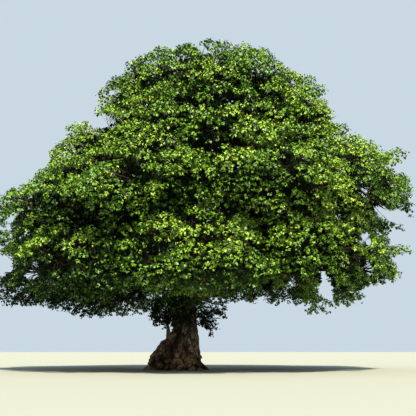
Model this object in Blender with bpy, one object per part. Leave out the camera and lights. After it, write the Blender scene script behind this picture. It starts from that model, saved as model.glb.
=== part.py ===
"""A spreading field sycamore maple: a buttressed trunk, its boughs, and masses of foliage.

Metres, +Z up. The origin is the middle of the flat cut under the trunk, at ground level. +X points
to the side on which the crown reaches further, and -Y is the front.

The crown is a dome of tiers. Each tier is a ring of masses, and each mass has a bough of its own that
ends where it enters the mass. A mass keeps to its own space: an ellipsoid, cut back to the planes that
part it from its neighbours. Inside it one stem runs on from the bough to a hub, twigs fan out from the
hub by a seeded rule, and every leaf is a thin blade that stands for a spray of real leaves.
"""

import math
import random
from dataclasses import dataclass, field

import bmesh
import bpy
import numpy as np
from mathutils import Matrix, Vector, noise
from mathutils.bvhtree import BVHTree

SEED = 7
UP = Vector((0, 0, 1))

# --- Clearances -----------------------------------------------------------------------------------
TOUCH_GAP = 0.0003  # between two pieces that touch
CUTTER_SWELL = 0.00034  # a cutter's corners move out this far, so that its flat faces move out by TOUCH_GAP
LIMB_MARGIN = 0.03  # foliage keeps this far off every limb
SPACE_GAP = 0.08  # between the spaces of two neighbouring masses

# --- Trunk ----------------------------------------------------------------------------------------
TRUNK_TIP = 14.5
TRUNK_SIDES = 30
TRUNK_RINGS = (0.0, 0.22, 0.5, 0.85, 1.25, 1.65, 2.05, 2.55, 3.3, 4.8, 7.4, 10.6, TRUNK_TIP)
# Height, the axis there in x and y, and the radius without its buttresses.
TRUNK_PROFILE = (
    (0.0, -0.35, 0.00, 1.20),
    (0.5, -0.34, 0.00, 1.10),
    (1.0, -0.29, 0.00, 1.03),
    (1.5, -0.20, 0.00, 0.92),
    (2.0, -0.02, 0.00, 0.71),
    (2.6, 0.06, 0.00, 0.61),
    (3.6, 0.07, 0.02, 0.55),
    (5.2, 0.06, 0.05, 0.48),
    (7.6, 0.20, 0.08, 0.37),
    (10.0, 0.45, 0.08, 0.27),
    (12.4, 0.80, 0.04, 0.17),
    (TRUNK_TIP, 1.10, 0.00, 0.09),
)
# Azimuth and half width in degrees, how far the buttress stands out at the ground, and the height where
# it has run into the trunk.
BUTTRESSES = (
    (2, 15, 0.40, 1.5),
    (-42, 15, 0.46, 1.8),
    (-78, 12, 0.42, 1.4),
    (-108, 11, 0.34, 1.2),
    (-146, 17, 0.72, 2.2),
    (178, 19, 0.62, 2.0),
    (132, 16, 0.58, 1.6),
    (90, 15, 0.48, 1.7),
    (46, 14, 0.48, 1.5),
)
# The deep fold between the main stem and the old shoulder at its front left.
FOLD_AZIMUTH, FOLD_SPREAD, FOLD_DEPTH = -116, 15, 0.34
FOLD_MIDDLE, FOLD_HALF_HEIGHT = 1.55, 0.95
FLUTES, FLUTE_SHARE, FLUTE_TWIST = 9, 0.05, 0.22  # shallow ribs that wind slowly up the stem

# --- Boughs ---------------------------------------------------------------------------------------
BOUGH_SIDES = 5
BOUGH_POINTS = 5
BOUGH_ROOT_SHARE = 0.40  # of the trunk's radius where the bough leaves it
BOUGH_TIP_RADIUS = 0.075
BOUGH_LEAST_TAPER = 0.6  # a slim bough's tip is this share of its root
BOUGH_TAPER = 1.3  # over 1, a bough thins faster near its root
# A bough's curve: how far its two handles reach along its run, and how they lie up or down.
BOUGH_HANDLE, BOUGH_LIFT, BOUGH_ARCH, BOUGH_LEVELS = 0.30, 0.34, 0.12, 0.06
BOUGH_ENTERS = 0.93  # the bough ends this far out in its mass, where 1 is the mass's outline
STEM_STRAIGHT = 0.25  # a mass's stem runs straight on from its bough for this long
SIDE_STEM_RADIUS = 0.15

# --- Foliage --------------------------------------------------------------------------------------
CORE_SHARE = 0.71  # the core's size beside its mass's space
CORE_LUMPS, CORE_LUMP_SCALE = 0.22, 1.7  # how far its lumps stand out, and how many there are
CORE_ROUNDS = 2  # 1 is an icosahedron, and each more divides its faces in four
KNOT_SHARE = 0.13  # an open mass has only a knot in place of the core, where its twigs meet
TWIGS, TOP_TWIGS, OPEN_TWIGS = 5, 8, 4
TWIG_REACH = 0.77  # how far out a twig ends, where 1 is the mass's outline
TWIG_ROOT_RADIUS, TWIG_TIP_RADIUS = 0.085, 0.055
PAIR_AT = 0.86  # how far along its twig the side leaves start
PAIR_ROLL = math.radians(30)  # the most that a pair is rolled out of the level
FORK_ANGLE = math.radians(62)
LEAF_LENGTH, OPEN_LEAF_LENGTH = 2.0, 0.9
SHORTEST_LEAF_SHARE = 0.25  # of those lengths
LEAF_ROOM = 0.97  # of the room ahead of it that a leaf may take up
LEAF_LEAN = 0.4  # how far a leaf's face leans outwards from straight up, as a slope
LEAF_WIDTH_SHARE = 0.60
LEAF_THICK_SHARE = 0.045
LEAF_POINTS = 4  # round a leaf's outline
END_LEAF_SUNK = 0.04  # how deep an end leaf's root lies in its twig
PAIR_LEAF_APART = 0.008  # from the twig's axis to the root of each side leaf
LEAF_SHRINK = 0.87  # a leaf that doesn't fit is tried again at this share of its length
GOLDEN_ANGLE = math.pi * (3 - math.sqrt(5))


# The gaps that go right through the crown: x and z at its mid-depth, and half the width and height there.
# They line up towards someone who stands out in front of the tree.
GAPS = ((7.75, 4.45, 0.38, 0.75), (10.8, 8.8, 0.42, 0.55))
GAPS_LINE_UP_AT = Vector((1.27, -45.0, 1.05))
GAP_SIDES, GAP_HALF_LENGTH = 6, 14.0


@dataclass
class Tier:
    """A ring of masses. Reaches are measured from the origin, and heights from the ground."""

    name: str
    count: int
    height: float
    tilt: float  # how much higher the ring runs at +X, and lower at -X
    reach_left: float
    reach_right: float
    reach_deep: float
    radii: tuple  # of each mass: outwards, along the ring, and up
    first_azimuth: float
    bough_from: float  # the height at which even boughs leave the trunk
    bough_stagger: float  # odd ones leave this much higher
    twigs: int = TWIGS  # of each mass


TIERS = (
    Tier("skirt", 8, 5.4, 0.3, 10.9, 12.2, 10.9, (3.6, 4.0, 2.5), 0.0, 3.5, 0.75),
    Tier("waist", 8, 9.1, 0.5, 10.7, 13.1, 10.9, (3.6, 4.0, 2.7), 22.5, 5.5, 0.9),
    Tier("shoulder", 6, 12.2, 0.8, 7.8, 9.9, 8.6, (3.5, 3.9, 2.8), 30.0, 8.1, 0.9),
    Tier("upper", 4, 15.0, 0.0, 5.3, 7.7, 5.9, (3.2, 3.6, 2.6), 0.0, 10.9, 0.8, 7),
)
HEIGHT_SHIFT, REACH_SHIFT = 0.28, 0.25  # the most that a mass departs from its ring

TOP_CENTRE, TOP_RADII = Vector((1.6, 0.0, 16.3)), (3.8, 3.2, 2.15)
# The leafy shoots low on the trunk: those that the side stem carries, and those on the right.
LOW_LEFT_CENTRE, LOW_LEFT_RADII = Vector((-1.0, -0.75, 3.05)), (1.1, 0.95, 0.9)
LOW_RIGHT_CENTRE, LOW_RIGHT_RADII = Vector((1.40, -0.45, 2.75)), (0.8, 0.8, 0.75)
SIDE_STEM_FROM, LOW_RIGHT_FROM = Vector((-0.80, -0.20, 1.25)), Vector((0.10, 0.0, 2.9))
LOW_RIGHT_STEM_RADII = (0.09, 0.05)


@dataclass
class Mass:
    """One mass of foliage and its space."""

    name: str
    centre: Vector
    out: Vector  # horizontal, away from the trunk
    radii: tuple
    rng: random.Random
    open: bool = False  # sky shows through it, so it has no core
    twigs: int = TWIGS
    leaf_length: float = LEAF_LENGTH
    walls: list = field(default_factory=list)  # (unit normal, furthest distance along it from the centre)

    def axes(self):
        return self.out, UP.cross(self.out), UP

    def share(self, point):
        """0 at the centre and 1 on the ellipsoid."""
        away = point - self.centre
        return math.hypot(*(away.dot(axis) / r for axis, r in zip(self.axes(), self.radii)))

    def holds(self, point):
        away = point - self.centre
        return self.share(point) <= 1 and all(away.dot(n) <= far for n, far in self.walls)

    def room(self, start, heading):
        """How far a point can go from start along heading before it leaves the space."""
        if not self.holds(start):
            return 0.0
        away = start - self.centre
        p = Vector(away.dot(axis) / r for axis, r in zip(self.axes(), self.radii))
        d = Vector(heading.dot(axis) / r for axis, r in zip(self.axes(), self.radii))
        a, b, c = d.dot(d), p.dot(d), p.dot(p) - 1
        far = (-b + math.sqrt(b * b - a * c)) / a
        for normal, wall in self.walls:
            speed = heading.dot(normal)
            if speed > 0:
                far = min(far, (wall - away.dot(normal)) / speed)
        return far


# --- Shared small tools ---------------------------------------------------------------------------
def eased(rows, height):
    """The columns of rows after the first, on a smooth curve through them, at this height."""
    table = np.array(rows, float)
    heights = table[:, 0]
    slopes = np.gradient(table[:, 1:], heights, axis=0)
    i = int(np.clip(np.searchsorted(heights, height) - 1, 0, len(rows) - 2))
    span = heights[i + 1] - heights[i]
    t = (height - heights[i]) / span
    return (
        (2 * t**3 - 3 * t**2 + 1) * table[i, 1:]
        + (t**3 - 2 * t**2 + t) * span * slopes[i]
        + (3 * t**2 - 2 * t**3) * table[i + 1, 1:]
        + (t**3 - t**2) * span * slopes[i + 1]
    )


def bump(away, half_width):
    """1 at the middle, falling smoothly to nothing by about two half widths."""
    return math.exp(-((away / half_width) ** 2))


def degrees_between(a, b):
    return (a - b + 180) % 360 - 180


def new_material(name, colour, roughness):
    material = bpy.data.materials.new(name)
    material.use_nodes = True
    shader = material.node_tree.nodes["Principled BSDF"]
    shader.inputs["Base Color"].default_value = (*colour, 1)
    shader.inputs["Roughness"].default_value = roughness
    shader.inputs["Metallic"].default_value = 0.0
    return material


def new_object(name, bm, material=None, collection=None):
    """An object made from bm, which is used up. Its faces point outwards."""
    bmesh.ops.recalc_face_normals(bm, faces=bm.faces)
    mesh = bpy.data.meshes.new(name)
    bm.to_mesh(mesh)
    bm.free()
    if material:
        mesh.materials.append(material)
    made = bpy.data.objects.new(name, mesh)
    (collection or bpy.context.scene.collection).objects.link(made)
    return made


def remove_object(obj):
    mesh = obj.data
    bpy.data.objects.remove(obj)
    bpy.data.meshes.remove(mesh)


def apply_boolean(obj, operation, other=None, collection=None):
    """Joins or cuts obj, and applies the result to its mesh."""
    modifier = obj.modifiers.new(operation, "BOOLEAN")
    modifier.operation = operation
    modifier.solver = "EXACT"
    if collection:
        modifier.operand_type = "COLLECTION"
        modifier.collection = collection
    else:
        modifier.object = other
    bpy.context.view_layer.update()
    graph = bpy.context.evaluated_depsgraph_get()
    result = bpy.data.meshes.new_from_object(obj.evaluated_get(graph))
    obj.modifiers.remove(modifier)
    old = obj.data
    result.name = old.name
    obj.data = result
    bpy.data.meshes.remove(old)


def unit_tube(sides, rings):
    """A closed tube of radius 1, as a bmesh: its ring number i is at height i."""
    bm = bmesh.new()
    bmesh.ops.create_circle(bm, segments=sides, radius=1.0)
    ring = bm.edges[:]
    for _ in range(rings - 1):
        grown = bmesh.ops.extrude_edge_only(bm, edges=ring)["geom"]
        ring = [g for g in grown if isinstance(g, bmesh.types.BMEdge)]
        verts = [g for g in grown if isinstance(g, bmesh.types.BMVert)]
        bmesh.ops.translate(bm, vec=UP, verts=verts)
    bmesh.ops.holes_fill(bm, edges=bm.edges)
    return bm


def frames_along(path):
    """A matrix for each point of path, whose Z runs along it and whose X and Y never twist."""
    headings = [(b - a).normalized() for a, b in zip(path, path[1:])]
    mitres = [headings[0], *((a + b).normalized() for a, b in zip(headings, headings[1:])), headings[-1]]
    turn = mitres[0].to_track_quat("Z", "Y")
    frames = []
    for i, point in enumerate(path):
        if i:
            turn = mitres[i - 1].rotation_difference(mitres[i]) @ turn
        frames.append(Matrix.Translation(point) @ turn.to_matrix().to_4x4())
    return frames


def limb(path, radii, sides):
    """A closed tapering tube along path, as a bmesh, with a flat face square to the path at each end."""
    bm = unit_tube(sides, len(path))
    frames = frames_along(path)
    for v in bm.verts:
        i = round(v.co.z)
        v.co = frames[i] @ (Vector((v.co.x, v.co.y, 0)) * radii[i])
    return bm


def bezier(a, b, c, d, t):
    s = 1 - t
    return a * s**3 + b * (3 * s * s * t) + c * (3 * s * t * t) + d * t**3


# --- Trunk ----------------------------------------------------------------------------------------
def trunk_axis(height):
    x, y, _ = eased(TRUNK_PROFILE, height)
    return Vector((x, y, height))


def trunk_radius(azimuth, height):
    """The trunk's radius towards this azimuth, in degrees."""
    radius = eased(TRUNK_PROFILE, height)[2]
    winding = math.radians(azimuth) + FLUTE_TWIST * height
    radius *= 1 + FLUTE_SHARE * math.cos(FLUTES * winding)
    for middle, spread, reach, top in BUTTRESSES:
        left = max(0.0, 1 - height / top)
        radius += reach * left**2 * bump(degrees_between(azimuth, middle), spread)
    fold = bump(degrees_between(azimuth, FOLD_AZIMUTH), FOLD_SPREAD)
    return radius - FOLD_DEPTH * fold * bump(height - FOLD_MIDDLE, FOLD_HALF_HEIGHT)


def trunk_mesh():
    """The whole stem, from the flat cut at the ground to its tip."""
    bm = unit_tube(TRUNK_SIDES, len(TRUNK_RINGS))
    for v in bm.verts:
        height = TRUNK_RINGS[round(v.co.z)]
        azimuth = math.degrees(math.atan2(v.co.y, v.co.x))
        outward = Vector((v.co.x, v.co.y, 0)).normalized()
        v.co = trunk_axis(height) + outward * trunk_radius(azimuth, height)
    bmesh.ops.triangulate(bm, faces=bm.faces)  # so that its cutter's faces fold along the same edges
    return bm


def new_cutter(name, bm):
    cutter = new_object(name, bm)
    cutter.hide_render = True
    cutter.display_type = "WIRE"
    return cutter


def swollen(obj, name, by):
    """A cutter: a copy of obj whose surface stands out by this much."""
    bm = bmesh.new()
    bm.from_mesh(obj.data)
    bm.normal_update()
    for v in bm.verts:
        v.co += v.normal * by
    return new_cutter(name, bm)


# --- Where the masses are -------------------------------------------------------------------------
def ring_of_masses(tier, rng):
    """The masses of one tier, with the height at which each one's bough leaves the trunk."""
    middle = (tier.reach_right - tier.reach_left) / 2
    half_width = (tier.reach_right + tier.reach_left) / 2 - tier.radii[0]
    half_depth = tier.reach_deep - tier.radii[0]
    for i in range(tier.count):
        azimuth = math.radians(tier.first_azimuth + 360 * i / tier.count)
        out = Vector((math.cos(azimuth), math.sin(azimuth), 0))
        drawn_in = rng.uniform(0, REACH_SHIFT)
        height = tier.height + tier.tilt * out.x + rng.uniform(-HEIGHT_SHIFT, HEIGHT_SHIFT)
        centre = Vector((middle + (half_width - drawn_in) * out.x, (half_depth - drawn_in) * out.y, height))
        own_rng = random.Random(rng.random())
        mass = Mass(f"{tier.name}_foliage_{i + 1}", centre, out, tier.radii, own_rng, twigs=tier.twigs)
        yield mass, tier.bough_from + tier.bough_stagger * (i % 2)


def part_spaces(masses):
    """Gives each mass the planes that part its space from every other one."""
    for a in masses:
        for b in masses:
            if a is b:
                continue
            apart = b.centre - a.centre
            size_a, size_b = (float(np.mean(m.radii)) for m in (a, b))
            if apart.length < size_a * 2 + size_b * 2:
                far = (apart.length_squared + size_a**2 - size_b**2) / (2 * apart.length)
                a.walls.append((apart.normalized(), far - SPACE_GAP / 2))


# --- Boughs ---------------------------------------------------------------------------------------
def bough_path(start, mass):
    """Points from the trunk's middle out to where the bough enters its mass, with an arch between."""
    run = math.hypot(mass.centre.x - start.x, mass.centre.y - start.y)
    rise = mass.centre.z - start.z
    out = Vector((mass.centre.x - start.x, mass.centre.y - start.y, 0)).normalized()
    second = start + out * (BOUGH_HANDLE * run) + UP * (BOUGH_LIFT * rise + BOUGH_ARCH * run)
    third = mass.centre - out * (BOUGH_HANDLE * run) - UP * (BOUGH_LEVELS * rise)
    curve = (start, second, third, mass.centre)
    low, high = 0.0, 1.0
    while high - low > 1e-4:
        t = (low + high) / 2
        inside = mass.share(bezier(*curve, t)) < BOUGH_ENTERS
        low, high = (low, t) if inside else (t, high)
    return [bezier(*curve, high * i / (BOUGH_POINTS - 1)) for i in range(BOUGH_POINTS)]


def tapering(first, last, count):
    """Radii that fall quickly at the root and slowly after it, as a limb's do."""
    return [last + (first - last) * (1 - i / (count - 1)) ** BOUGH_TAPER for i in range(count)]


def surface(obj, out=0.0):
    """The object's surface as a tree to test against, this far out from it."""
    bm = bmesh.new()
    bm.from_mesh(obj.data)
    bm.normal_update()
    for v in bm.verts:
        v.co += v.normal * out
    return BVHTree.FromBMesh(bm)


# --- Foliage --------------------------------------------------------------------------------------
def blade(root, heading, face, length):
    """A leaf as a bmesh: a thin kite from root along heading, with its broad side towards face."""
    bm = bmesh.new()
    bmesh.ops.create_uvsphere(bm, u_segments=LEAF_POINTS, v_segments=2, radius=0.5)
    side = heading.cross(face).normalized()
    face = side.cross(heading).normalized()
    turn = Matrix((heading, side, face)).transposed().to_4x4()
    place = Matrix.Translation(root + heading * (length / 2)) @ turn
    scale = Matrix.Diagonal((length, length * LEAF_WIDTH_SHARE, length * LEAF_THICK_SHARE, 1))
    bmesh.ops.transform(bm, matrix=place @ scale, verts=bm.verts)
    return bm


def golden_headings(mass):
    """Outwards first, then directions spread evenly over a sphere from a seeded start."""
    out, along, up = mass.axes()
    spin = mass.rng.uniform(0, 2 * math.pi)
    yield out
    for i in range(mass.twigs - 1):
        z = 0.95 - 1.9 * (i + 0.5) / (mass.twigs - 1)
        turn = spin + i * GOLDEN_ANGLE
        flat = math.sqrt(1 - z * z)
        x, y = flat * math.cos(turn), flat * math.sin(turn)
        local = (x * mass.radii[0], y * mass.radii[1], z * mass.radii[2])
        yield (out * local[0] + along * local[1] + up * local[2]).normalized()


def leaf_places(twig, mass):
    """Root and heading of a twig's leaves: one carries it on, and a pair fork off level beside it."""
    start, end = twig
    heading = (end - start).normalized()
    side = heading.cross(UP)
    side = side.normalized() if side.length > 0.3 else mass.axes()[1]  # a steep twig has no level side
    side = Matrix.Rotation(mass.rng.uniform(-PAIR_ROLL, PAIR_ROLL), 3, heading) @ side
    yield end - heading * END_LEAF_SUNK, heading
    for sign in (-1, 1):
        fork = heading * math.cos(FORK_ANGLE) + side * (sign * math.sin(FORK_ANGLE))
        yield start.lerp(end, PAIR_AT) + fork * PAIR_LEAF_APART, fork


def fits(bm, mass, barriers):
    """True if this piece stays in its mass's space and touches none of the barriers."""
    if not all(mass.holds(v.co) for v in bm.verts):
        return False
    tree = BVHTree.FromBMesh(bm)
    return not any(tree.overlap(barrier) for barrier in barriers)


def foliage_pieces(mass, limbs):
    """The twigs and leaves of a mass, as bmeshes. A leaf touches no limb, and no twig but its own."""
    twigs = []
    for heading in golden_headings(mass):
        end = mass.centre + heading * (mass.room(mass.centre, heading) * TWIG_REACH)
        twig = limb([mass.centre, end], [TWIG_ROOT_RADIUS, TWIG_TIP_RADIUS], 3)
        if fits(twig, mass, limbs):
            twigs.append(((mass.centre, end), BVHTree.FromBMesh(twig)))
            yield twig
    leaves = []
    for line, own in twigs:
        barriers = limbs + [tree for _, tree in twigs if tree is not own] + leaves
        for root, heading in leaf_places(line, mass):
            face = (UP + mass.out * LEAF_LEAN).normalized()
            face = face if abs(face.dot(heading)) < 0.9 else mass.out
            length = min(mass.leaf_length, LEAF_ROOM * mass.room(root, heading))
            while length > SHORTEST_LEAF_SHARE * mass.leaf_length:
                leaf = blade(root, heading, face, length)
                if fits(leaf, mass, barriers):
                    leaves.append(BVHTree.FromBMesh(leaf))
                    yield leaf
                    break
                length *= LEAF_SHRINK


def core_mesh(mass):
    """The dense middle of a mass: a lumpy ball, drawn in where its space is cut back."""
    bm = bmesh.new()
    bmesh.ops.create_icosphere(bm, subdivisions=1 if mass.open else CORE_ROUNDS, radius=1.0)
    size = KNOT_SHARE if mass.open else CORE_SHARE
    out, along, up = mass.axes()
    shift = Vector(mass.rng.uniform(-50, 50) for _ in range(3))
    for v in bm.verts:
        unit = v.co.normalized()
        stretched = [u * r for u, r in zip(unit, mass.radii)]
        away = (out * stretched[0] + along * stretched[1] + up * stretched[2]).normalized()
        share = size * (1 + CORE_LUMPS * noise.noise(unit * CORE_LUMP_SCALE + shift))
        v.co = mass.centre + away * (mass.room(mass.centre, away) * share)
    return bm


def largest_body(obj):
    """Keeps the one outer shell of a fused mass: hollows that fusing sealed are filled, and loose
    scraps are dropped."""
    bm = bmesh.new()
    bm.from_mesh(obj.data)
    bmesh.ops.triangulate(bm, faces=bm.faces)
    unseen, shells = set(bm.verts), []
    while unseen:
        todo = [unseen.pop()]
        shell = set(todo)
        while todo:
            for edge in todo.pop().link_edges:
                for v in edge.verts:
                    if v in unseen:
                        unseen.discard(v)
                        shell.add(v)
                        todo.append(v)
        shells.append(shell)
    largest = max(shells, key=len)
    bmesh.ops.delete(bm, geom=[v for v in bm.verts if v not in largest], context="VERTS")
    bm.to_mesh(obj.data)
    bm.free()


def gap_cutters():
    """A cutter for each gap through the crown: a slim oval prism."""
    cutters = []
    for i, (x, z, half_width, half_height) in enumerate(GAPS):
        middle = Vector((x, 0, z))
        along = (middle - GAPS_LINE_UP_AT).normalized()
        side = along.cross(UP).normalized()
        axes = Matrix((side * half_width, side.cross(along) * half_height, along * GAP_HALF_LENGTH))
        bm = unit_tube(GAP_SIDES, 2)
        bmesh.ops.translate(bm, vec=(0, 0, -0.5), verts=bm.verts)
        bmesh.ops.scale(bm, vec=(1, 1, 2), verts=bm.verts)
        place = Matrix.Translation(middle) @ axes.transposed().to_4x4()
        bmesh.ops.transform(bm, matrix=place, verts=bm.verts)
        cutters.append(new_cutter(f"gap_cutter_{i}", bm))
    return cutters


def build_foliage(mass, stem, limbs, gaps, material):
    """One solid: the stem, the core, the twigs and the leaves of a mass, joined by one union."""
    made = new_object(mass.name, core_mesh(mass), material)
    for gap in gaps:
        apply_boolean(made, "DIFFERENCE", other=gap)
    barriers = limbs + [surface(gap) for gap in gaps]
    loose = bpy.data.collections.new(mass.name + "_pieces")
    bpy.context.scene.collection.children.link(loose)
    for i, piece in enumerate([stem, *foliage_pieces(mass, barriers)]):
        new_object(f"{mass.name}_piece_{i}", piece, collection=loose)
    apply_boolean(made, "UNION", collection=loose)
    for piece in list(loose.objects):
        remove_object(piece)
    bpy.data.collections.remove(loose)
    largest_body(made)
    return made


# --- The tree -------------------------------------------------------------------------------------
def stem_from(point, heading, mass, radius):
    """A mass's stem, from TOUCH_GAP past point to the hub of the mass, as a bmesh."""
    start = point + heading * TOUCH_GAP
    path = [start, start + heading * STEM_STRAIGHT, mass.centre]
    return limb(path, [radius, radius, TWIG_TIP_RADIUS], BOUGH_SIDES)


def open_mass(name, centre, side, radii, rng):
    """One of the leafy shoots low on the trunk, on the side of +X or -X."""
    own_rng = random.Random(rng.random())
    out = Vector((side, 0, 0))
    return Mass(name, centre, out, radii, own_rng, open=True, twigs=OPEN_TWIGS, leaf_length=OPEN_LEAF_LENGTH)


def clear_scene():
    for obj in list(bpy.data.objects):
        bpy.data.objects.remove(obj)


def main():
    clear_scene()
    bark = new_material("bark", (0.13, 0.095, 0.065), 0.9)
    leaf_green = new_material("leaf_green", (0.10, 0.20, 0.03), 0.55)
    rng = random.Random(SEED)

    trunk = new_object("trunk", trunk_mesh(), bark)
    trunk_cutter = swollen(trunk, "trunk_cutter", CUTTER_SWELL)

    placed = [pair for tier in TIERS for pair in ring_of_masses(tier, rng)]
    top_rng = random.Random(rng.random())
    top = Mass("crown_top_foliage", TOP_CENTRE, Vector((1, 0, 0)), TOP_RADII, top_rng, twigs=TOP_TWIGS)
    low_left = open_mass("low_left_foliage", LOW_LEFT_CENTRE, -1, LOW_LEFT_RADII, rng)
    low_right = open_mass("low_right_foliage", LOW_RIGHT_CENTRE, 1, LOW_RIGHT_RADII, rng)
    masses = [mass for mass, _ in placed] + [top, low_left, low_right]
    part_spaces(masses)

    limbs, stems = [trunk], {}
    roots = []
    for mass, height in placed:
        radius = BOUGH_ROOT_SHARE * eased(TRUNK_PROFILE, height)[2]
        roots.append((mass.name.replace("foliage", "bough"), mass, trunk_axis(height), radius))
    roots.append(("side_stem", low_left, SIDE_STEM_FROM, SIDE_STEM_RADIUS))
    for name, mass, start, radius in roots:
        path = bough_path(start, mass)
        tip = min(BOUGH_TIP_RADIUS, radius * BOUGH_LEAST_TAPER)
        bough = new_object(name, limb(path, tapering(radius, tip, len(path)), BOUGH_SIDES), bark)
        apply_boolean(bough, "DIFFERENCE", other=trunk_cutter)
        limbs.append(bough)
        stems[mass.name] = stem_from(path[-1], (path[-1] - path[-2]).normalized(), mass, tip)
    stems[top.name] = stem_from(trunk_axis(TRUNK_TIP), UP, top, TRUNK_PROFILE[-1][3])
    stems[low_right.name] = limb([LOW_RIGHT_FROM, low_right.centre], LOW_RIGHT_STEM_RADII, BOUGH_SIDES)

    gaps = gap_cutters()
    barriers = [surface(obj, LIMB_MARGIN) for obj in limbs]
    for mass in masses:
        made = build_foliage(mass, stems[mass.name], barriers, gaps, leaf_green)
        if mass is low_right:
            apply_boolean(made, "DIFFERENCE", other=trunk_cutter)

    for cutter in [trunk_cutter, *gaps]:
        remove_object(cutter)


main()
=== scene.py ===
"""A spreading field sycamore maple: a buttressed trunk in furrowed bark, its boughs, and its leaves.

The crown grows by the same rule as the solids it replaces. Tiers of masses ring the trunk, each on a
bough of its own, and main branches fan out from the hub of each mass. Here the rule goes on: branches
fork from the main branches to sprays, shoots fork from each spray's branch, and each shoot ends in
pairs of leaves.
"""

import math
import random
from dataclasses import dataclass, field
from functools import lru_cache
from itertools import product

import bmesh
import bpy
import numpy as np
from bpy.props import FloatProperty, FloatVectorProperty, IntProperty, PointerProperty
from bpy.types import Operator, Panel, PropertyGroup
from mathutils import Matrix, Vector, noise


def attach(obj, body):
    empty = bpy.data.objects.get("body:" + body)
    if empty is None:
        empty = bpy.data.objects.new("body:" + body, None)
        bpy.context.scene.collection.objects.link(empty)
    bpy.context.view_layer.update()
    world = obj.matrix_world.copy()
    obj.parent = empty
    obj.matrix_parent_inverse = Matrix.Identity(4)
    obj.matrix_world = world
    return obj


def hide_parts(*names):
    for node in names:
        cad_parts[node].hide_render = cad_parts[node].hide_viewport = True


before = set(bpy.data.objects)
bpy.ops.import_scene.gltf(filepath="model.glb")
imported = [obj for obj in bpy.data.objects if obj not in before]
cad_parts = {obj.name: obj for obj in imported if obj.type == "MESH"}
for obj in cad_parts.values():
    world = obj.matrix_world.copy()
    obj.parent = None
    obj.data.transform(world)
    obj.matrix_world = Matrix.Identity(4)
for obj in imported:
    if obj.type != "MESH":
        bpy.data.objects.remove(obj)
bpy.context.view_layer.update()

bl_info = {
    "name": "Sycamore maple",
    "version": (1, 0, 0),
    "blender": (4, 5, 0),
    "location": "View3D > Sidebar > Tree",
    "description": "Grows a spreading field maple in bark and leaf on its solid frame",
    "category": "Add Mesh",
}

BODY = "root"
UP = Vector((0, 0, 1))
MM = 0.001
GOLDEN_ANGLE = math.pi * (3 - math.sqrt(5))


def linear(code):
    """An sRGB hex colour as three linear values."""
    shares = (int(code[i : i + 2], 16) / 255 for i in (0, 2, 4))
    return tuple(s / 12.92 if s <= 0.04045 else ((s + 0.055) / 1.055) ** 2.4 for s in shares)


# --- The rule that the solids grew by ---------------------------------------------------------------
SEED = 7
SPACE_GAP = 0.08  # between the spaces of two neighbouring masses
TRUNK_TIP = 14.5
# Height, the axis there in x and y, and the radius without its buttresses.
TRUNK_PROFILE = (
    (0.0, -0.35, 0.00, 1.20),
    (0.5, -0.34, 0.00, 1.10),
    (1.0, -0.29, 0.00, 1.03),
    (1.5, -0.20, 0.00, 0.92),
    (2.0, -0.02, 0.00, 0.71),
    (2.6, 0.06, 0.00, 0.61),
    (3.6, 0.07, 0.02, 0.55),
    (5.2, 0.06, 0.05, 0.48),
    (7.6, 0.20, 0.08, 0.37),
    (10.0, 0.45, 0.08, 0.27),
    (12.4, 0.80, 0.04, 0.17),
    (TRUNK_TIP, 1.10, 0.00, 0.09),
)
# Azimuth and half width in degrees, how far the buttress stands out at the ground, and its top.
BUTTRESSES = (
    (2, 15, 0.40, 1.5),
    (-42, 15, 0.46, 1.8),
    (-78, 12, 0.42, 1.4),
    (-108, 11, 0.34, 1.2),
    (-146, 17, 0.72, 2.2),
    (178, 19, 0.62, 2.0),
    (132, 16, 0.58, 1.6),
    (90, 15, 0.48, 1.7),
    (46, 14, 0.48, 1.5),
)
FOLD_AZIMUTH, FOLD_SPREAD, FOLD_DEPTH = -116, 15, 0.34
FOLD_MIDDLE, FOLD_HALF_HEIGHT = 1.55, 0.95
FLUTES, FLUTE_SHARE, FLUTE_TWIST = 9, 0.05, 0.22

BOUGH_ROOT_SHARE, BOUGH_TIP_RADIUS, BOUGH_LEAST_TAPER, BOUGH_TAPER = 0.40, 0.075, 0.6, 1.3
BOUGH_HANDLE, BOUGH_LIFT, BOUGH_ARCH, BOUGH_LEVELS = 0.30, 0.34, 0.12, 0.06
BOUGH_ENTERS = 0.93
SIDE_STEM_RADIUS = 0.15

TWIGS, TOP_TWIGS, OPEN_TWIGS = 5, 8, 4
TWIG_REACH = 0.77
TWIG_ROOT_RADIUS, TWIG_TIP_RADIUS = 0.085, 0.055

# Where the gaps through the crown line up.
GAPS_LINE_UP_AT = Vector((1.27, -45.0, 1.05))


@dataclass
class Tier:
    """A ring of masses. Reaches are measured from the origin, and heights from the ground."""

    name: str
    count: int
    height: float
    tilt: float
    reach_left: float
    reach_right: float
    reach_deep: float
    radii: tuple
    first_azimuth: float
    bough_from: float
    bough_stagger: float
    twigs: int = TWIGS


TIERS = (
    Tier("skirt", 8, 5.4, 0.3, 10.9, 12.2, 10.9, (3.6, 4.0, 2.5), 0.0, 3.5, 0.75),
    Tier("waist", 8, 9.1, 0.5, 10.7, 13.1, 10.9, (3.6, 4.0, 2.7), 22.5, 5.5, 0.9),
    Tier("shoulder", 6, 12.2, 0.8, 7.8, 9.9, 8.6, (3.5, 3.9, 2.8), 30.0, 8.1, 0.9),
    Tier("upper", 4, 15.0, 0.0, 5.3, 7.7, 5.9, (3.2, 3.6, 2.6), 0.0, 10.9, 0.8, 7),
)
HEIGHT_SHIFT, REACH_SHIFT = 0.28, 0.25
TOP_CENTRE, TOP_RADII = Vector((1.6, 0.0, 16.3)), (3.8, 3.2, 2.15)
LOW_LEFT_CENTRE, LOW_LEFT_RADII = Vector((-1.0, -0.75, 3.05)), (1.1, 0.95, 0.9)
LOW_RIGHT_CENTRE, LOW_RIGHT_RADII = Vector((1.40, -0.45, 2.75)), (0.8, 0.8, 0.75)
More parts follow.
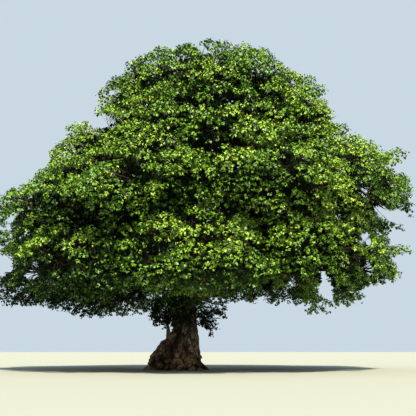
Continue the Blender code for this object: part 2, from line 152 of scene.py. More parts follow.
SIDE_STEM_FROM, LOW_RIGHT_FROM = Vector((-0.80, -0.20, 1.25)), Vector((0.10, 0.0, 2.9))


@dataclass(eq=False)
class Mass:
    """One mass of foliage and its space: an ellipsoid, cut back to planes that part it from others."""

    name: str
    centre: Vector
    out: Vector
    radii: tuple
    rng: random.Random
    open: bool = False
    twigs: int = TWIGS
    walls: list = field(default_factory=list)

    def axes(self):
        """Outwards, along the ring and up."""
        return self.out, UP.cross(self.out), UP

    def scaled(self, away):
        """The place of a point that lies this far from the centre, in shares of the radii."""
        return Vector(away.dot(axis) / r for axis, r in zip(self.axes(), self.radii))

    def room(self, heading):
        """How far a point can go from the centre along heading before it leaves the space."""
        far = 1 / self.scaled(heading).length
        for normal, wall in self.walls:
            speed = heading.dot(normal)
            if speed > 0:
                far = min(far, wall / speed)
        return far

    def heading(self, direction):
        """A direction of the unit sphere, turned and stretched with the mass."""
        out, along, up = self.axes()
        x, y, z = (d * r for d, r in zip(direction, self.radii))
        return (out * x + along * y + up * z).normalized()


def unit(vectors):
    """The rows of an array, each made 1 long."""
    return vectors / np.maximum(np.linalg.norm(vectors, axis=-1, keepdims=True), 1e-9)


def eased(rows, height):
    """The columns of rows after the first, on a smooth curve through them, at this height."""
    table = np.array(rows, float)
    heights = table[:, 0]
    slopes = np.gradient(table[:, 1:], heights, axis=0)
    i = int(np.clip(np.searchsorted(heights, height) - 1, 0, len(rows) - 2))
    span = heights[i + 1] - heights[i]
    t = (height - heights[i]) / span
    return (
        (2 * t**3 - 3 * t**2 + 1) * table[i, 1:]
        + (t**3 - 2 * t**2 + t) * span * slopes[i]
        + (3 * t**2 - 2 * t**3) * table[i + 1, 1:]
        + (t**3 - t**2) * span * slopes[i + 1]
    )


def bump(away, half_width):
    """A smooth hump: 1 in its middle, and next to nothing two half widths away."""
    return math.exp(-((away / half_width) ** 2))


def degrees_between(a, b):
    """From b to a the short way round."""
    return (a - b + 180) % 360 - 180


def trunk_axis(height):
    """The middle of the trunk at this height."""
    x, y, _ = eased(TRUNK_PROFILE, height)
    return Vector((x, y, height))


def fold_share(azimuth, height):
    """1 in the middle of the trunk's fold, and 0 well away from it."""
    across = bump(degrees_between(azimuth, FOLD_AZIMUTH), FOLD_SPREAD)
    return across * bump(height - FOLD_MIDDLE, FOLD_HALF_HEIGHT)


def trunk_radius(azimuth, height, plain_radius):
    """The trunk's radius towards this azimuth, in degrees, with its flutes, buttresses and fold."""
    winding = math.radians(azimuth) + FLUTE_TWIST * height
    radius = plain_radius * (1 + FLUTE_SHARE * math.cos(FLUTES * winding))
    for middle, spread, reach, top in BUTTRESSES:
        left = max(0.0, 1 - height / top)
        radius += reach * left**2 * bump(degrees_between(azimuth, middle), spread)
    return radius - FOLD_DEPTH * fold_share(azimuth, height)


def ring_of_masses(tier, rng):
    """The masses of one tier, with the height at which each one's bough leaves the trunk."""
    middle = (tier.reach_right - tier.reach_left) / 2
    half_width = (tier.reach_right + tier.reach_left) / 2 - tier.radii[0]
    half_depth = tier.reach_deep - tier.radii[0]
    for i in range(tier.count):
        azimuth = math.radians(tier.first_azimuth + 360 * i / tier.count)
        out = Vector((math.cos(azimuth), math.sin(azimuth), 0))
        drawn_in = rng.uniform(0, REACH_SHIFT)
        height = tier.height + tier.tilt * out.x + rng.uniform(-HEIGHT_SHIFT, HEIGHT_SHIFT)
        x, y = middle + (half_width - drawn_in) * out.x, (half_depth - drawn_in) * out.y
        own_rng = random.Random(rng.random())
        name, centre = f"{tier.name}_foliage_{i + 1}", Vector((x, y, height))
        mass = Mass(name, centre, out, tier.radii, own_rng, twigs=tier.twigs)
        yield mass, tier.bough_from + tier.bough_stagger * (i % 2)


def part_spaces(masses):
    """Gives each mass the planes that part its space from every other one."""
    for a in masses:
        for b in masses:
            if a is b:
                continue
            apart = b.centre - a.centre
            size_a, size_b = (float(np.mean(m.radii)) for m in (a, b))
            if apart.length < size_a * 2 + size_b * 2:
                far = (apart.length_squared + size_a**2 - size_b**2) / (2 * apart.length)
                a.walls.append((apart.normalized(), far - SPACE_GAP / 2))


def bezier(a, b, c, d, t):
    """The point at share t of the curve from a to d."""
    s = 1 - t
    return a * s**3 + b * (3 * s * s * t) + c * (3 * s * t * t) + d * t**3


def bough_path(start, mass, count):
    """Points from the trunk's middle out to where the bough enters its mass."""
    run = math.hypot(mass.centre.x - start.x, mass.centre.y - start.y)
    rise = mass.centre.z - start.z
    out = Vector((mass.centre.x - start.x, mass.centre.y - start.y, 0)).normalized()
    second = start + out * (BOUGH_HANDLE * run) + UP * (BOUGH_LIFT * rise + BOUGH_ARCH * run)
    third = mass.centre - out * (BOUGH_HANDLE * run) - UP * (BOUGH_LEVELS * rise)
    curve = (start, second, third, mass.centre)
    low, high = 0.0, 1.0
    while high - low > 1e-4:
        t = (low + high) / 2
        inside = mass.scaled(bezier(*curve, t) - mass.centre).length < BOUGH_ENTERS
        low, high = (low, t) if inside else (t, high)
    return [bezier(*curve, high * i / (count - 1)) for i in range(count)]


def sphere_headings(count, spin=0.0, reach=0.95):
    """Unit directions spread evenly over a sphere, from one pole to the other."""
    for i in range(count):
        z = reach - 2 * reach * (i + 0.5) / count
        flat = math.sqrt(1 - z * z)
        turn = spin + i * GOLDEN_ANGLE
        yield Vector((flat * math.cos(turn), flat * math.sin(turn), z))


@dataclass
class Limb:
    """A bough or the side stem."""

    name: str
    mass: Mass
    path: list
    radii: list


LIMB_POINTS = 22


@lru_cache(maxsize=1)
def skeleton():
    """The masses of the crown, and the limbs that carry them, from the same draws as the solids."""
    rng = random.Random(SEED)
    placed = [pair for tier in TIERS for pair in ring_of_masses(tier, rng)]
    top_rng = random.Random(rng.random())
    top = Mass("crown_top_foliage", TOP_CENTRE, Vector((1, 0, 0)), TOP_RADII, top_rng, twigs=TOP_TWIGS)
    low = []
    for name, centre, side, radii in (
        ("low_left_foliage", LOW_LEFT_CENTRE, -1, LOW_LEFT_RADII),
        ("low_right_foliage", LOW_RIGHT_CENTRE, 1, LOW_RIGHT_RADII),
    ):
        own_rng = random.Random(rng.random())
        low.append(Mass(name, centre, Vector((side, 0, 0)), radii, own_rng, open=True, twigs=OPEN_TWIGS))
    masses = [mass for mass, _ in placed] + [top, *low]
    part_spaces(masses)
    roots = []
    for mass, height in placed:
        radius = BOUGH_ROOT_SHARE * eased(TRUNK_PROFILE, height)[2]
        roots.append((mass.name.replace("foliage", "bough"), mass, trunk_axis(height), radius))
    roots.append(("side_stem", low[0], SIDE_STEM_FROM, SIDE_STEM_RADIUS))
    limbs = []
    for name, mass, start, radius in roots:
        tip = min(BOUGH_TIP_RADIUS, radius * BOUGH_LEAST_TAPER)
        falls = [(1 - i / (LIMB_POINTS - 1)) ** BOUGH_TAPER for i in range(LIMB_POINTS)]
        path = bough_path(start, mass, LIMB_POINTS)
        limbs.append(Limb(name, mass, path, [tip + (radius - tip) * f for f in falls]))
    return masses, limbs


# --- How the crown grows on from there --------------------------------------------------------------
SPRAY_RADIUS = (0.46, 0.72)
POINTS_TRIED = 200000  # places for a spray that are tried in the box of the crown
SPRAY_SPACING, SPRAY_LIFT = 1.36, 1.35  # in radii; and how much closer sprays may lie one above another
SPRAY_BAND = (0.04, 0.13)  # how far inside the skin the middle of a spray lies, as a share of its mass
OPEN_BAND = 0.25  # added to the band in the low masses beside the trunk, which are open
SPRAY_FLATNESS = 0.52  # a spray's height, beside its radius
OPEN_SCALE, OPEN_SPACING = 0.62, 0.80  # the sprays of the low masses beside the others
# The skin of the crown: the masses' outlines, blended where they meet, with shelves and creases.
SKIN_BLEND, SKIN_OFFSET = 5.5, 0.05
MASS_SIZE = 3.3  # metres from the middle of a mass to its skin, about
MOST_DRAWN = 0.4  # the most that shelves and creases draw the skin in, on the scale of skin_field
SHELF_WIDTH, SHELF_HEIGHT, SHELF_DEPTH, SHELF_START = 3.3, 0.85, 2.0, 0.09
SHELF_SLOPE = 0.30  # how far a shelf hangs for each metre outwards
CREASE_WIDTH, CREASE_HEIGHT, CREASE_DEPTH, CREASE_SHARPNESS = 2.2, 1.2, 0.70, 10.0
CREASE_SHIFT = 40  # to another part of the noise than the shelves'
# How far a tier's masses are drawn in at their outer shoulders, and below: left and right, as shares.
SHOULDERS = {
    "skirt": (0.30, 0.10),
    "waist": (0.80, 0.16),
    "shoulder": (0.60, 0.58),
    "upper": (0.50, 0.46),
}
BELLIES = {"skirt": (0.27, 0.25)}
BELLY, DOME = 0.18, {"crown": 0.09, "upper": 0.04}  # the other undersides, and the tops of these masses
NORMAL_STEP = 0.15  # how far from a point the skin is felt for the way out
DEEPEST, PROBE_STEP, PROBES = 3.2, 0.4, 24  # how far, how finely and how many ways depth is felt
DRAWS_SKIPPED = 3  # the source makes three draws for its own noise before it turns the hub
FACING_OUT, FACING_UP = 0.60, 0.76  # a spray faces out of the skin, and up
NEIGHBOUR_REACH, NEIGHBOURS = 1.5, 6  # a spray with fewer others within this reach isn't kept
KEEP_DEPTH, KEEP_DEEP_SHARE = 1.8, 0.45  # the share that is kept of the sprays that lie deeper
INNER_BAND, INNER_SPACING = (0.30, 0.48), 1.66  # the shade sprays behind the skin
# The middle of the crown, which counts as crown when the depth of a spray is measured.
HOLLOW_CENTRE, HOLLOW_RADII = Vector((1.0, 0.0, 10.2)), (7.2, 6.8, 6.0)
RIM = 1.10  # no leaf goes further out than this share of the skin
MAIN_POINTS, BRANCH_POINTS = 6, 4  # along each
# Tips that stand out of the skin, and the shoots on the front of the trunk: their middles and radii.
TIPS = (
    (-4.45, 0.0, 15.1, 0.62),
    (-4.00, 0.0, 16.2, 0.60),
    (-6.25, 0.0, 13.45, 0.60),
    (-9.6, 0.0, 9.75, 0.45),
    (-9.95, -0.2, 7.2, 0.85),
    (-9.6, -0.6, 4.7, 0.95),
    (-9.0, -0.8, 3.60, 0.62),
    (-4.9, -1.5, 2.90, 0.62),
    (6.90, 0.0, 16.3, 0.62),
    (7.25, 0.0, 15.7, 0.80),
    (8.70, 0.0, 13.4, 0.66),
    (11.85, 0.0, 12.0, 0.62),
    (12.15, 0.0, 10.5, 0.55),
    (11.6, -1.2, 8.9, 0.75),
    (11.3, -0.8, 7.65, 0.58),
    (11.7, -0.8, 6.4, 0.60),
    (7.9, -3.0, 3.40, 0.66),
    (6.70, -3.7, 3.00, 0.60),
    (6.50, -4.3, 3.55, 0.62),
    (-0.15, -1.00, 2.80, 0.62),
    (0.55, -0.95, 3.15, 0.60),
    (-1.45, -0.6, 2.85, 0.48),
    (-0.90, -1.05, 2.48, 0.46),
    (0.45, -1.50, 3.60, 0.66),
    (-0.55, -1.40, 3.75, 0.58),
    (1.0, -0.6, 2.30, 0.55),
)
# Gaps through the crown: x and z at its mid-depth, and half the width and height there.
GAPS = (
    (7.78, 4.35, 0.30, 0.52),
    (7.60, 5.15, 0.13, 0.40),
    (5.94, 4.73, 0.12, 0.24),
    (-8.45, 5.20, 0.28, 0.18),
    (-8.20, 5.75, 0.12, 0.14),
    (-10.2, 5.75, 0.60, 0.52),
    (10.9, 8.75, 0.22, 0.30),
    (10.05, 7.2, 0.16, 0.26),
    (10.1, 5.5, 0.13, 0.28),
    (10.0, 9.9, 0.14, 0.24),
    (11.8, 8.45, 0.75, 0.20),
    (11.5, 4.1, 1.55, 0.62),
    (-4.75, 13.95, 0.66, 0.27),
    (12.4, 11.25, 0.50, 0.20),
)
GAP_MARGIN, SHOOT_MARGIN = 0.06, 0.14
# The waves that make the gaps' rims ragged: how deep they are, and how close along x, y and z.
GAP_RIMS = ((0.28, (3.1, 2.3, 4.3)), (0.20, (-7.1, 5.3, 6.1)))
CLEAR_GAPS, GAP_PROBES = 2, 16  # no branch crosses the first ones


@dataclass(eq=False)
class Spray:
    """A spray of leafy shoots round the end of one branch."""

    mass: Mass
    centre: Vector
    facing: Vector
    radius: float
    depth: float = 0.0
    inner: bool = False


def shaped_shares(mass, points):
    """A mass's shares, with its outer shoulder, its top and its underside drawn in."""
    away = points - np.array(mass.centre)
    parts = np.array([away @ np.array(axis) / r for axis, r in zip(mass.axes(), mass.radii)])
    share = np.maximum(np.linalg.norm(parts, axis=0), 1e-6)
    outer, upper = parts[0] / share, parts[2] / share
    tier = mass.name.split("_")[0]
    leftness = 0.5 - 0.5 * mass.out.x
    shoulder, belly = (
        right + (left - right) * leftness
        for left, right in (SHOULDERS.get(tier, (0.0, 0.0)), BELLIES.get(tier, (BELLY, BELLY)))
    )
    above, below = np.maximum(upper, 0), np.maximum(-upper, 0)
    drawn = shoulder * np.maximum(outer, 0) * above + belly * below**2 + DOME.get(tier, 0.0) * above**2
    return share / (1 - drawn)


def tip_field(points):
    """Over 0 inside the tips that stand out, for each point, on the scale of skin_field."""
    middles, radii = np.array(TIPS)[:, :3], np.array(TIPS)[:, 3]
    away = np.stack([np.linalg.norm(points - middle, axis=-1) for middle in middles], axis=-1)
    return ((radii - away) / MASS_SIZE).max(axis=-1)


def skin_field(points, masses):
    """Over 0 inside the crown's skin, for each point, and the number of the nearest mass."""
    shares = np.stack([shaped_shares(mass, points) for mass in masses])
    total = np.exp(-SKIN_BLEND * (shares - 1)).sum(axis=0)
    blended = np.log(total) / SKIN_BLEND - SKIN_OFFSET
    return np.maximum(blended, tip_field(points)), shares.argmin(axis=0)


def skin_normals(points, masses):
    """The way out of the crown from each point."""
    sides = []
    for axis in np.eye(3):
        ahead, _ = skin_field(points + axis * NORMAL_STEP, masses)
        behind, _ = skin_field(points - axis * NORMAL_STEP, masses)
        sides.append(behind - ahead)
    return unit(np.stack(sides, axis=-1))


def middle_field(points):
    """Over 0 inside the middle of the crown, for each point, on the scale of skin_field."""
    away = (points - np.array(HOLLOW_CENTRE)) / np.array(HOLLOW_RADII)
    return (1 - np.linalg.norm(away, axis=-1)) * (min(HOLLOW_RADII) / MASS_SIZE)


def inside_crown(points, masses):
    """True for each point that lies in the crown's skin, or in the middle of the crown."""
    return np.maximum(middle_field(points), skin_field(points, masses)[0]) > 0


def depths(points, masses):
    """How far it is from each point to the nearest way out of the crown."""
    found = np.full(len(points), DEEPEST)
    for heading in sphere_headings(PROBES, reach=1.0):
        for far in np.arange(PROBE_STEP, DEEPEST, PROBE_STEP):
            outside = ~inside_crown(points + np.array(heading) * far, masses)
            found = np.where(outside & (far < found), far, found)
    return found


def main_branches(mass):
    """Where the main branches end, by the source's rule: outwards, then evenly round the hub."""
    for _ in range(DRAWS_SKIPPED):
        mass.rng.random()
    spin = mass.rng.uniform(0, 2 * math.pi)
    headings = [mass.out]
    headings += [mass.heading(direction) for direction in sphere_headings(mass.twigs - 1, spin)]
    ends = [mass.centre + h * (mass.room(h) * TWIG_REACH) for h in headings]
    return [end for end in ends if not crosses_gap(mass.centre, end)]


def shelf(point):
    """How far the skin is drawn in here, in metres: the crown lies in shelves with creases between."""
    x, y, z = (float(p) for p in point)
    z += SHELF_SLOPE * math.hypot(x, y)
    shelves = noise.noise(Vector((x / SHELF_WIDTH, y / SHELF_WIDTH, z / SHELF_HEIGHT)))
    place = Vector((x / CREASE_WIDTH + CREASE_SHIFT, y / CREASE_WIDTH, z / CREASE_HEIGHT))
    crease = max(0.0, 1 - CREASE_SHARPNESS * abs(noise.noise(place)))
    drawn = SHELF_DEPTH * max(0.0, -shelves - SHELF_START) + CREASE_DEPTH * crease
    return min(MOST_DRAWN * MASS_SIZE, drawn)


CELLS_AROUND = [np.array(step) for step in product((-1, 0, 1), repeat=3)]


class Packing:
    """Points that keep apart, sorted into cells of 1 m. They may lie closer one above another."""

    def __init__(self, points):
        self.cells = {}
        for point in points:
            self.add(point, 0.0)

    def add(self, point, apart):
        """Adds a point and returns True, unless one in the cells around lies nearer than apart."""
        squeezed = point * (1, 1, SPRAY_LIFT)
        cell = np.floor(squeezed)
        others = [o for step in CELLS_AROUND for o in self.cells.get(tuple(cell + step), ())]
        if others and np.linalg.norm(np.array(others) - squeezed, axis=1).min() < apart:
            return False
        self.cells.setdefault(tuple(cell), []).append(squeezed)
        return True


def spray_places(masses, rng):
    """Points for sprays, the number of each one's mass, and which suit outer and shade sprays."""
    low = np.min([np.array(m.centre) - max(m.radii) for m in masses], axis=0)
    high = np.max([np.array(m.centre) + max(m.radii) for m in masses], axis=0)
    points = rng.uniform(low, high, (POINTS_TRIED, 3))
    field_at, nearest = skin_field(points, masses)
    whole = np.maximum(field_at, middle_field(points))
    near_skin = (whole > SPRAY_BAND[0]) & (whole < INNER_BAND[1] + MOST_DRAWN)
    points, field_at, whole, nearest = (rows[near_skin] for rows in (points, field_at, whole, nearest))
    opened = np.array([masses[i].open for i in nearest])
    smooth = opened | (tip_field(points) > 0)
    drawn = np.array([0.0 if s else shelf(p) / MASS_SIZE for p, s in zip(points, smooth)])
    outer = (field_at - drawn > SPRAY_BAND[0]) & (field_at - drawn < SPRAY_BAND[1] + OPEN_BAND * opened)
    shade = ~outer & ~opened & (whole - drawn > INNER_BAND[0]) & (whole - drawn < INNER_BAND[1])
    return points, nearest, outer, shade


def crown_sprays(masses):
    """Sprays spread evenly over the skin of the crown, and shade sprays behind them."""
    rng = np.random.default_rng(SEED)
    points, nearest, outer, shade = spray_places(masses, rng)
    # Each tip that stands out is a spray of its own.
    tips = np.array(TIPS)[:, :3]
    _, owners = skin_field(tips, masses)
    kept = [Spray(masses[owner], Vector(tip[:3]), UP, tip[3]) for owner, tip in zip(owners, TIPS)]
    for inner, wanted, spacing in ((False, outer, SPRAY_SPACING), (True, shade, INNER_SPACING)):
        chosen = points[wanted]
        spread, normals = depths(chosen, masses), skin_normals(chosen, masses)
        radii = rng.uniform(*SPRAY_RADIUS, len(chosen))
        chances = rng.random(len(chosen))
        packing = Packing(() if inner else tips)
        for point, number, depth, normal, radius, chance in zip(
            chosen, nearest[wanted], spread, normals, radii, chances
        ):
            mass = masses[number]
            radius *= OPEN_SCALE if mass.open else 1.0
            if depth > KEEP_DEPTH and not inner and chance > KEEP_DEEP_SHARE:
                continue
            if not packing.add(point, (OPEN_SPACING if mass.open else spacing) * radius):
                continue
            facing = UP if inner else (Vector(normal) * FACING_OUT + UP * FACING_UP).normalized()
            kept.append(Spray(mass, Vector(point), facing, float(radius), float(depth), inner))
    places = np.array([tuple(spray.centre) for spray in kept])
    beside = [(np.linalg.norm(places - place, axis=1) < NEIGHBOUR_REACH).sum() - 1 for place in places]
    return [spray for i, spray in enumerate(kept) if i < len(TIPS) or beside[i] >= NEIGHBOURS]


def in_gap(points, gaps=GAPS, margin=GAP_MARGIN):
    """True for each point that lies in a gap of the crown. The gaps have ragged rims."""
    ragged = sum(depth * np.sin(points @ np.array(waves)) for depth, waves in GAP_RIMS)
    found = np.zeros(points.shape[:-1], bool)
    for x, z, half_width, half_height in gaps:
        middle = Vector((x, 0, z))
        line = (middle - GAPS_LINE_UP_AT).normalized()
        across = line.cross(UP).normalized()
        away = points - np.array(middle)
        aside = away @ np.array(across) / (half_width + margin)
        above = away @ np.array(across.cross(line)) / (half_height + margin)
        found |= aside**2 + above**2 < 1 + ragged
    return found


def crosses_gap(start, end):
    """True if the line from start to end passes through a gap that stays clear of branches."""
    shares = np.linspace(0, 1, GAP_PROBES)[:, None]
    line = np.array(start) * (1 - shares) + np.array(end) * shares
    return bool(in_gap(line, GAPS[:CLEAR_GAPS]).any())


FORK_SLOPE = 0.9  # how far before its target a branch forks off, for each metre it has to go sideways
FORK_RANGE = (0.06, 0.96)  # the first and last place for a fork, as shares of the parent


def fork(start, end, target):
    """The point on the line from start to end where a branch to target forks off."""
    run = end - start
    along = run.normalized()
    ahead = (target - start).dot(along)
    aside = (target - start - along * ahead).length
    share = min(FORK_RANGE[1], max(FORK_RANGE[0], (ahead - aside * FORK_SLOPE) / run.length))
    return start + run * share


# The curve of a branch, as shares of its reach: how long it keeps to its heading at its root and at its
# end, how far it is lifted after its root, and how far it hangs before its end.
ROOT_HANDLE, ROOT_LIFT, END_HANDLE, END_HANG = 0.30, 0.03, 0.25, 0.05


def branch_path(start, along, end, count):
    """A branch that leaves its parent along its heading and bends up towards its end."""
    reach = (end - start).length
    second = start + along * (ROOT_HANDLE * reach) + UP * (ROOT_LIFT * reach)
    third = end - (end - start).normalized() * (END_HANDLE * reach) - UP * (END_HANG * reach)
    return [bezier(start, second, third, end, i / (count - 1)) for i in range(count)]


SHOOTS, OPEN_SHOOTS, INNER_SHOOTS = 14, 8, 9  # on a spray of middling size
MIDDLING_RADIUS, LEAST_SHOOTS, DEEP_SHOOTS = 0.59, 6, 0.6  # the last is the share on deeper sprays
SHOOT_CAP = -0.10  # a spray's shoots cover its dome from the top down to here
SHOOT_REACH, SHOOT_HANG = (0.80, 1.16), 0.16  # in radii of the spray; the outer shoots hang


def spray_shoots(spray, spine):
    """The root, the tip and the outward direction of each shoot of a spray: a low dome of them."""
    rng = spray.mass.rng
    count = round((INNER_SHOOTS if spray.inner else SHOOTS) * (spray.radius / MIDDLING_RADIUS) ** 2)
    count = OPEN_SHOOTS if spray.mass.open else max(LEAST_SHOOTS, count)
    if spray.depth > KEEP_DEPTH and not spray.inner:
        count = round(count * DEEP_SHOOTS)
    turn = rng.uniform(0, 2 * math.pi)
    upright = spray.facing.to_track_quat("Z", "Y").to_matrix()
    for i in range(count):
        z = 1 - (1 - SHOOT_CAP) * (i + 0.5) / count
        flat = math.sqrt(1 - z * z)
        a = turn + i * GOLDEN_ANGLE
        away = upright @ Vector((flat * math.cos(a), flat * math.sin(a), z * SPRAY_FLATNESS))
        tip = spray.centre + away * (spray.radius * rng.uniform(*SHOOT_REACH))
        tip.z -= SHOOT_HANG * spray.radius * flat * flat
        yield fork(*spine, tip), tip, away


OPEN_GIRTH, HUB_GIRTH, END_GIRTH = 0.5, 0.8, 0.5  # of main branches, beside the source's thick twigs
TOP_ENTRY = (0.2, 0.6)  # where the crown's top joins the trunk, below its tip, and a point before that
TURN_SHARE = 0.6  # how far a main branch has turned to its own heading as it leaves the hub


def grown_mains(masses, limbs):
    """The main branches, as rows of a path and its radii, and where those of each mass end."""
    limb_of = {limb.mass.name: limb for limb in limbs}
    mains, ends_of = [], {}
    for mass in masses:
        ends_of[mass.name] = main_branches(mass)
        hub = mass.centre
        limb = limb_of.get(mass.name)
        if limb:
            entry, before = limb.path[-1], limb.path[-2]
        elif mass.open:
            entry, before = LOW_RIGHT_FROM, LOW_RIGHT_FROM - (hub - LOW_RIGHT_FROM)
        else:
            entry, before = (trunk_axis(TRUNK_TIP - below) for below in TOP_ENTRY)
        scale = OPEN_GIRTH if mass.open else 1.0
        root_radius = HUB_GIRTH * scale * TWIG_ROOT_RADIUS
        tip_radius = END_GIRTH * scale * TWIG_TIP_RADIUS
        path = branch_path(entry, (entry - before).normalized(), hub, MAIN_POINTS)
        mains.append((path, limb.radii[-1] if limb else BOUGH_TIP_RADIUS * scale, root_radius))
        for end in ends_of[mass.name]:
            along = (hub - entry).normalized().lerp((end - hub).normalized(), TURN_SHARE).normalized()
            mains.append((branch_path(hub, along, end, MAIN_POINTS), root_radius, tip_radius))
    return mains, ends_of


MASSES_TRIED = 3  # a spray's own and the nearest others


def branch_root(spray, target, masses, ends_of):
    """Where the branch to target leaves a main branch, and its heading. None if a gap is in the way."""
    nearest = sorted(masses, key=lambda m: (m is not spray.mass, (m.centre - target).length))
    for mass in nearest[:MASSES_TRIED]:
        choices = [(fork(mass.centre, end, target), end) for end in ends_of[mass.name]]
        choices = [pair for pair in choices if not crosses_gap(pair[0], target)]
        if choices:
            start, end = min(choices, key=lambda pair: (target - pair[0]).length)
            return start, (end - mass.centre).normalized()
    return None


FEWEST_SHOOTS = 3  # a spray with fewer isn't kept
TARGET_OUT = 0.25  # how far beyond the middle of its spray a branch ends, in radii
# A branch's radius: at its root, more for each metre of it, its share in a low mass, and at its tip.
BRANCH_RADIUS, RADIUS_PER_METRE, OPEN_BRANCH_GIRTH, BRANCH_TIP_RADIUS = 0.010, 0.006, 0.7, 0.006
SHOOT_RADIUS, SHOOT_TIP_RADIUS = 0.0060, 0.0030


@lru_cache(maxsize=1)
def crown():
    """Everything that grows on from the limbs: main branches, branches, and the shoots of each spray."""
    masses, limbs = skeleton()
    mains, ends_of = grown_mains(masses, limbs)
    branches, sprays, shoots = [], [], []
    for spray in crown_sprays(masses):
        target = spray.centre + spray.facing * (TARGET_OUT * spray.radius)
        root = None if in_gap(np.array(target)) else branch_root(spray, target, masses, ends_of)
        if not root:
            continue
        start, along = root
        path = branch_path(start, along, target, BRANCH_POINTS)
        made = list(spray_shoots(spray, (path[1], path[-1])))
        shut = in_gap(np.array([tuple(tip) for _, tip, _ in made]), margin=SHOOT_MARGIN)
        made = [shoot for shoot, gone in zip(made, shut) if not gone]
        if len(made) < FEWEST_SHOOTS:
            continue
        radius = BRANCH_RADIUS + RADIUS_PER_METRE * (target - start).length
        radius *= OPEN_BRANCH_GIRTH if spray.mass.open else 1.0
        branches.append((path, radius, BRANCH_TIP_RADIUS))
        shoots += [(*shoot, len(sprays)) for shoot in made]
        sprays.append(spray)
    return masses, mains, branches, sprays, shoots


# --- Meshes from bmesh operators --------------------------------------------------------------------
def unit_tube(sides, rings):
    """A closed tube of radius 1, as a bmesh: its ring number i is at height i."""
    bm = bmesh.new()
    bmesh.ops.create_circle(bm, segments=sides, radius=1.0)
    ring = bm.edges[:]
    for _ in range(rings - 1):
        grown = bmesh.ops.extrude_edge_only(bm, edges=ring)["geom"]
        ring = [g for g in grown if isinstance(g, bmesh.types.BMEdge)]
        verts = [g for g in grown if isinstance(g, bmesh.types.BMVert)]
        bmesh.ops.translate(bm, vec=UP, verts=verts)
    bmesh.ops.holes_fill(bm, edges=bm.edges)
    return bm


def frames_along(path):
    """A matrix for each point of path, whose Z runs along it and whose X and Y never twist."""
    headings = [(b - a).normalized() for a, b in zip(path, path[1:])]
    mitres = [headings[0], *((a + b).normalized() for a, b in zip(headings, headings[1:])), headings[-1]]
    turn = mitres[0].to_track_quat("Z", "Y")
    frames = []
    for i, point in enumerate(path):
        if i:
            turn = mitres[i - 1].rotation_difference(mitres[i]) @ turn
        frames.append(Matrix.Translation(point) @ turn.to_matrix().to_4x4())
    return frames


def new_object(name, data):
    """Puts new data in the scene as an object."""
    made = bpy.data.objects.new(name, data)
    bpy.context.scene.collection.objects.link(made)
    return made


def add_piece(name, mesh, material, replaced):
    """Puts a finished mesh in the scene, as a piece that stands for these nodes."""
    mesh.materials.append(material)
    piece = new_object(name, mesh)
    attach(piece, BODY)
    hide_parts(*replaced)


def smooth_mesh(name, bm, ridge):
    """A smooth-shaded mesh from bm, which is used up, with its bark's ridges and the shade painted in
    its furrows as an attribute.
    """
    bmesh.ops.recalc_face_normals(bm, faces=bm.faces)
    mesh = bpy.data.meshes.new(name)
    bm.to_mesh(mesh)
    bm.free()
    mesh.shade_smooth()
    attribute = mesh.attributes.new("ridge", "FLOAT", "POINT")
    attribute.data.foreach_set("value", ridge)
    return mesh


BILLOW_GAIN = 2.4  # brings the noise up to about 1 on the ridges


def billow(point, width, height):
    """Rounded ridges with sharp furrows between them, from 0 in a furrow to about 1."""
    place = Vector((point.x / width, point.y / width, point.z / height))
    return min(1.0, BILLOW_GAIN * abs(noise.noise(place)))


def at_least(floor, share):
    """A share from 0 up, squeezed to lie between floor and 1."""
    return floor + (1 - floor) * min(1.0, share)


# --- Materials --------------------------------------------------------------------------------------
def add_node(tree, kind, values=None, links=None, **settings):
    """Adds a node: its settings by name, its inputs' values, and the outputs that its inputs read."""
    node = tree.nodes.new("ShaderNode" + kind)
    for name, value in settings.items():
        setattr(node, name, value)
    for name, value in (values or {}).items():
        node.inputs[name].default_value = value
    for name, (source, output) in (links or {}).items():
        tree.links.new(source.outputs[output], node.inputs[name])
    return node


def new_material(name, colour, roughness):
    """A material of one colour, and its shader."""
    material = bpy.data.materials.new(name)
    material.use_nodes = True
    shader = material.node_tree.nodes["Principled BSDF"]
    shader.inputs["Base Color"].default_value = (*colour, 1)
    shader.inputs["Roughness"].default_value = roughness
    return material, shader


def set_ramp(node, *stops):
    """Gives a colour ramp these stops: place and colour."""
    elements = node.color_ramp.elements
    while len(elements) > 1:
        elements.remove(elements[-1])
    for i, (place, colour) in enumerate(stops):
        element = elements[0] if i == 0 else elements.new(place)
        element.position = place
        element.color = (*colour, 1)


# Real sizes in the bark: the bends in its cracks and how far they go, weathered patches, grain, relief.
BEND_SPACING, BEND_REACH, WEATHER_SIZE = 150 * MM, 60 * MM, 700 * MM
GRAIN_SIZE, GRAIN_RELIEF = 35 * MM, 14 * MM  # coarser than real grain, which is too fine to show
PLATE_STRETCH = 0.42  # of the plates' height on their width, which draws them out up the stem
DAMP_TOP, DAMP_FULL, DAMP_MOST = 1.5, 0.2, 0.75  # the damp foot: its top, where it is full, and how much


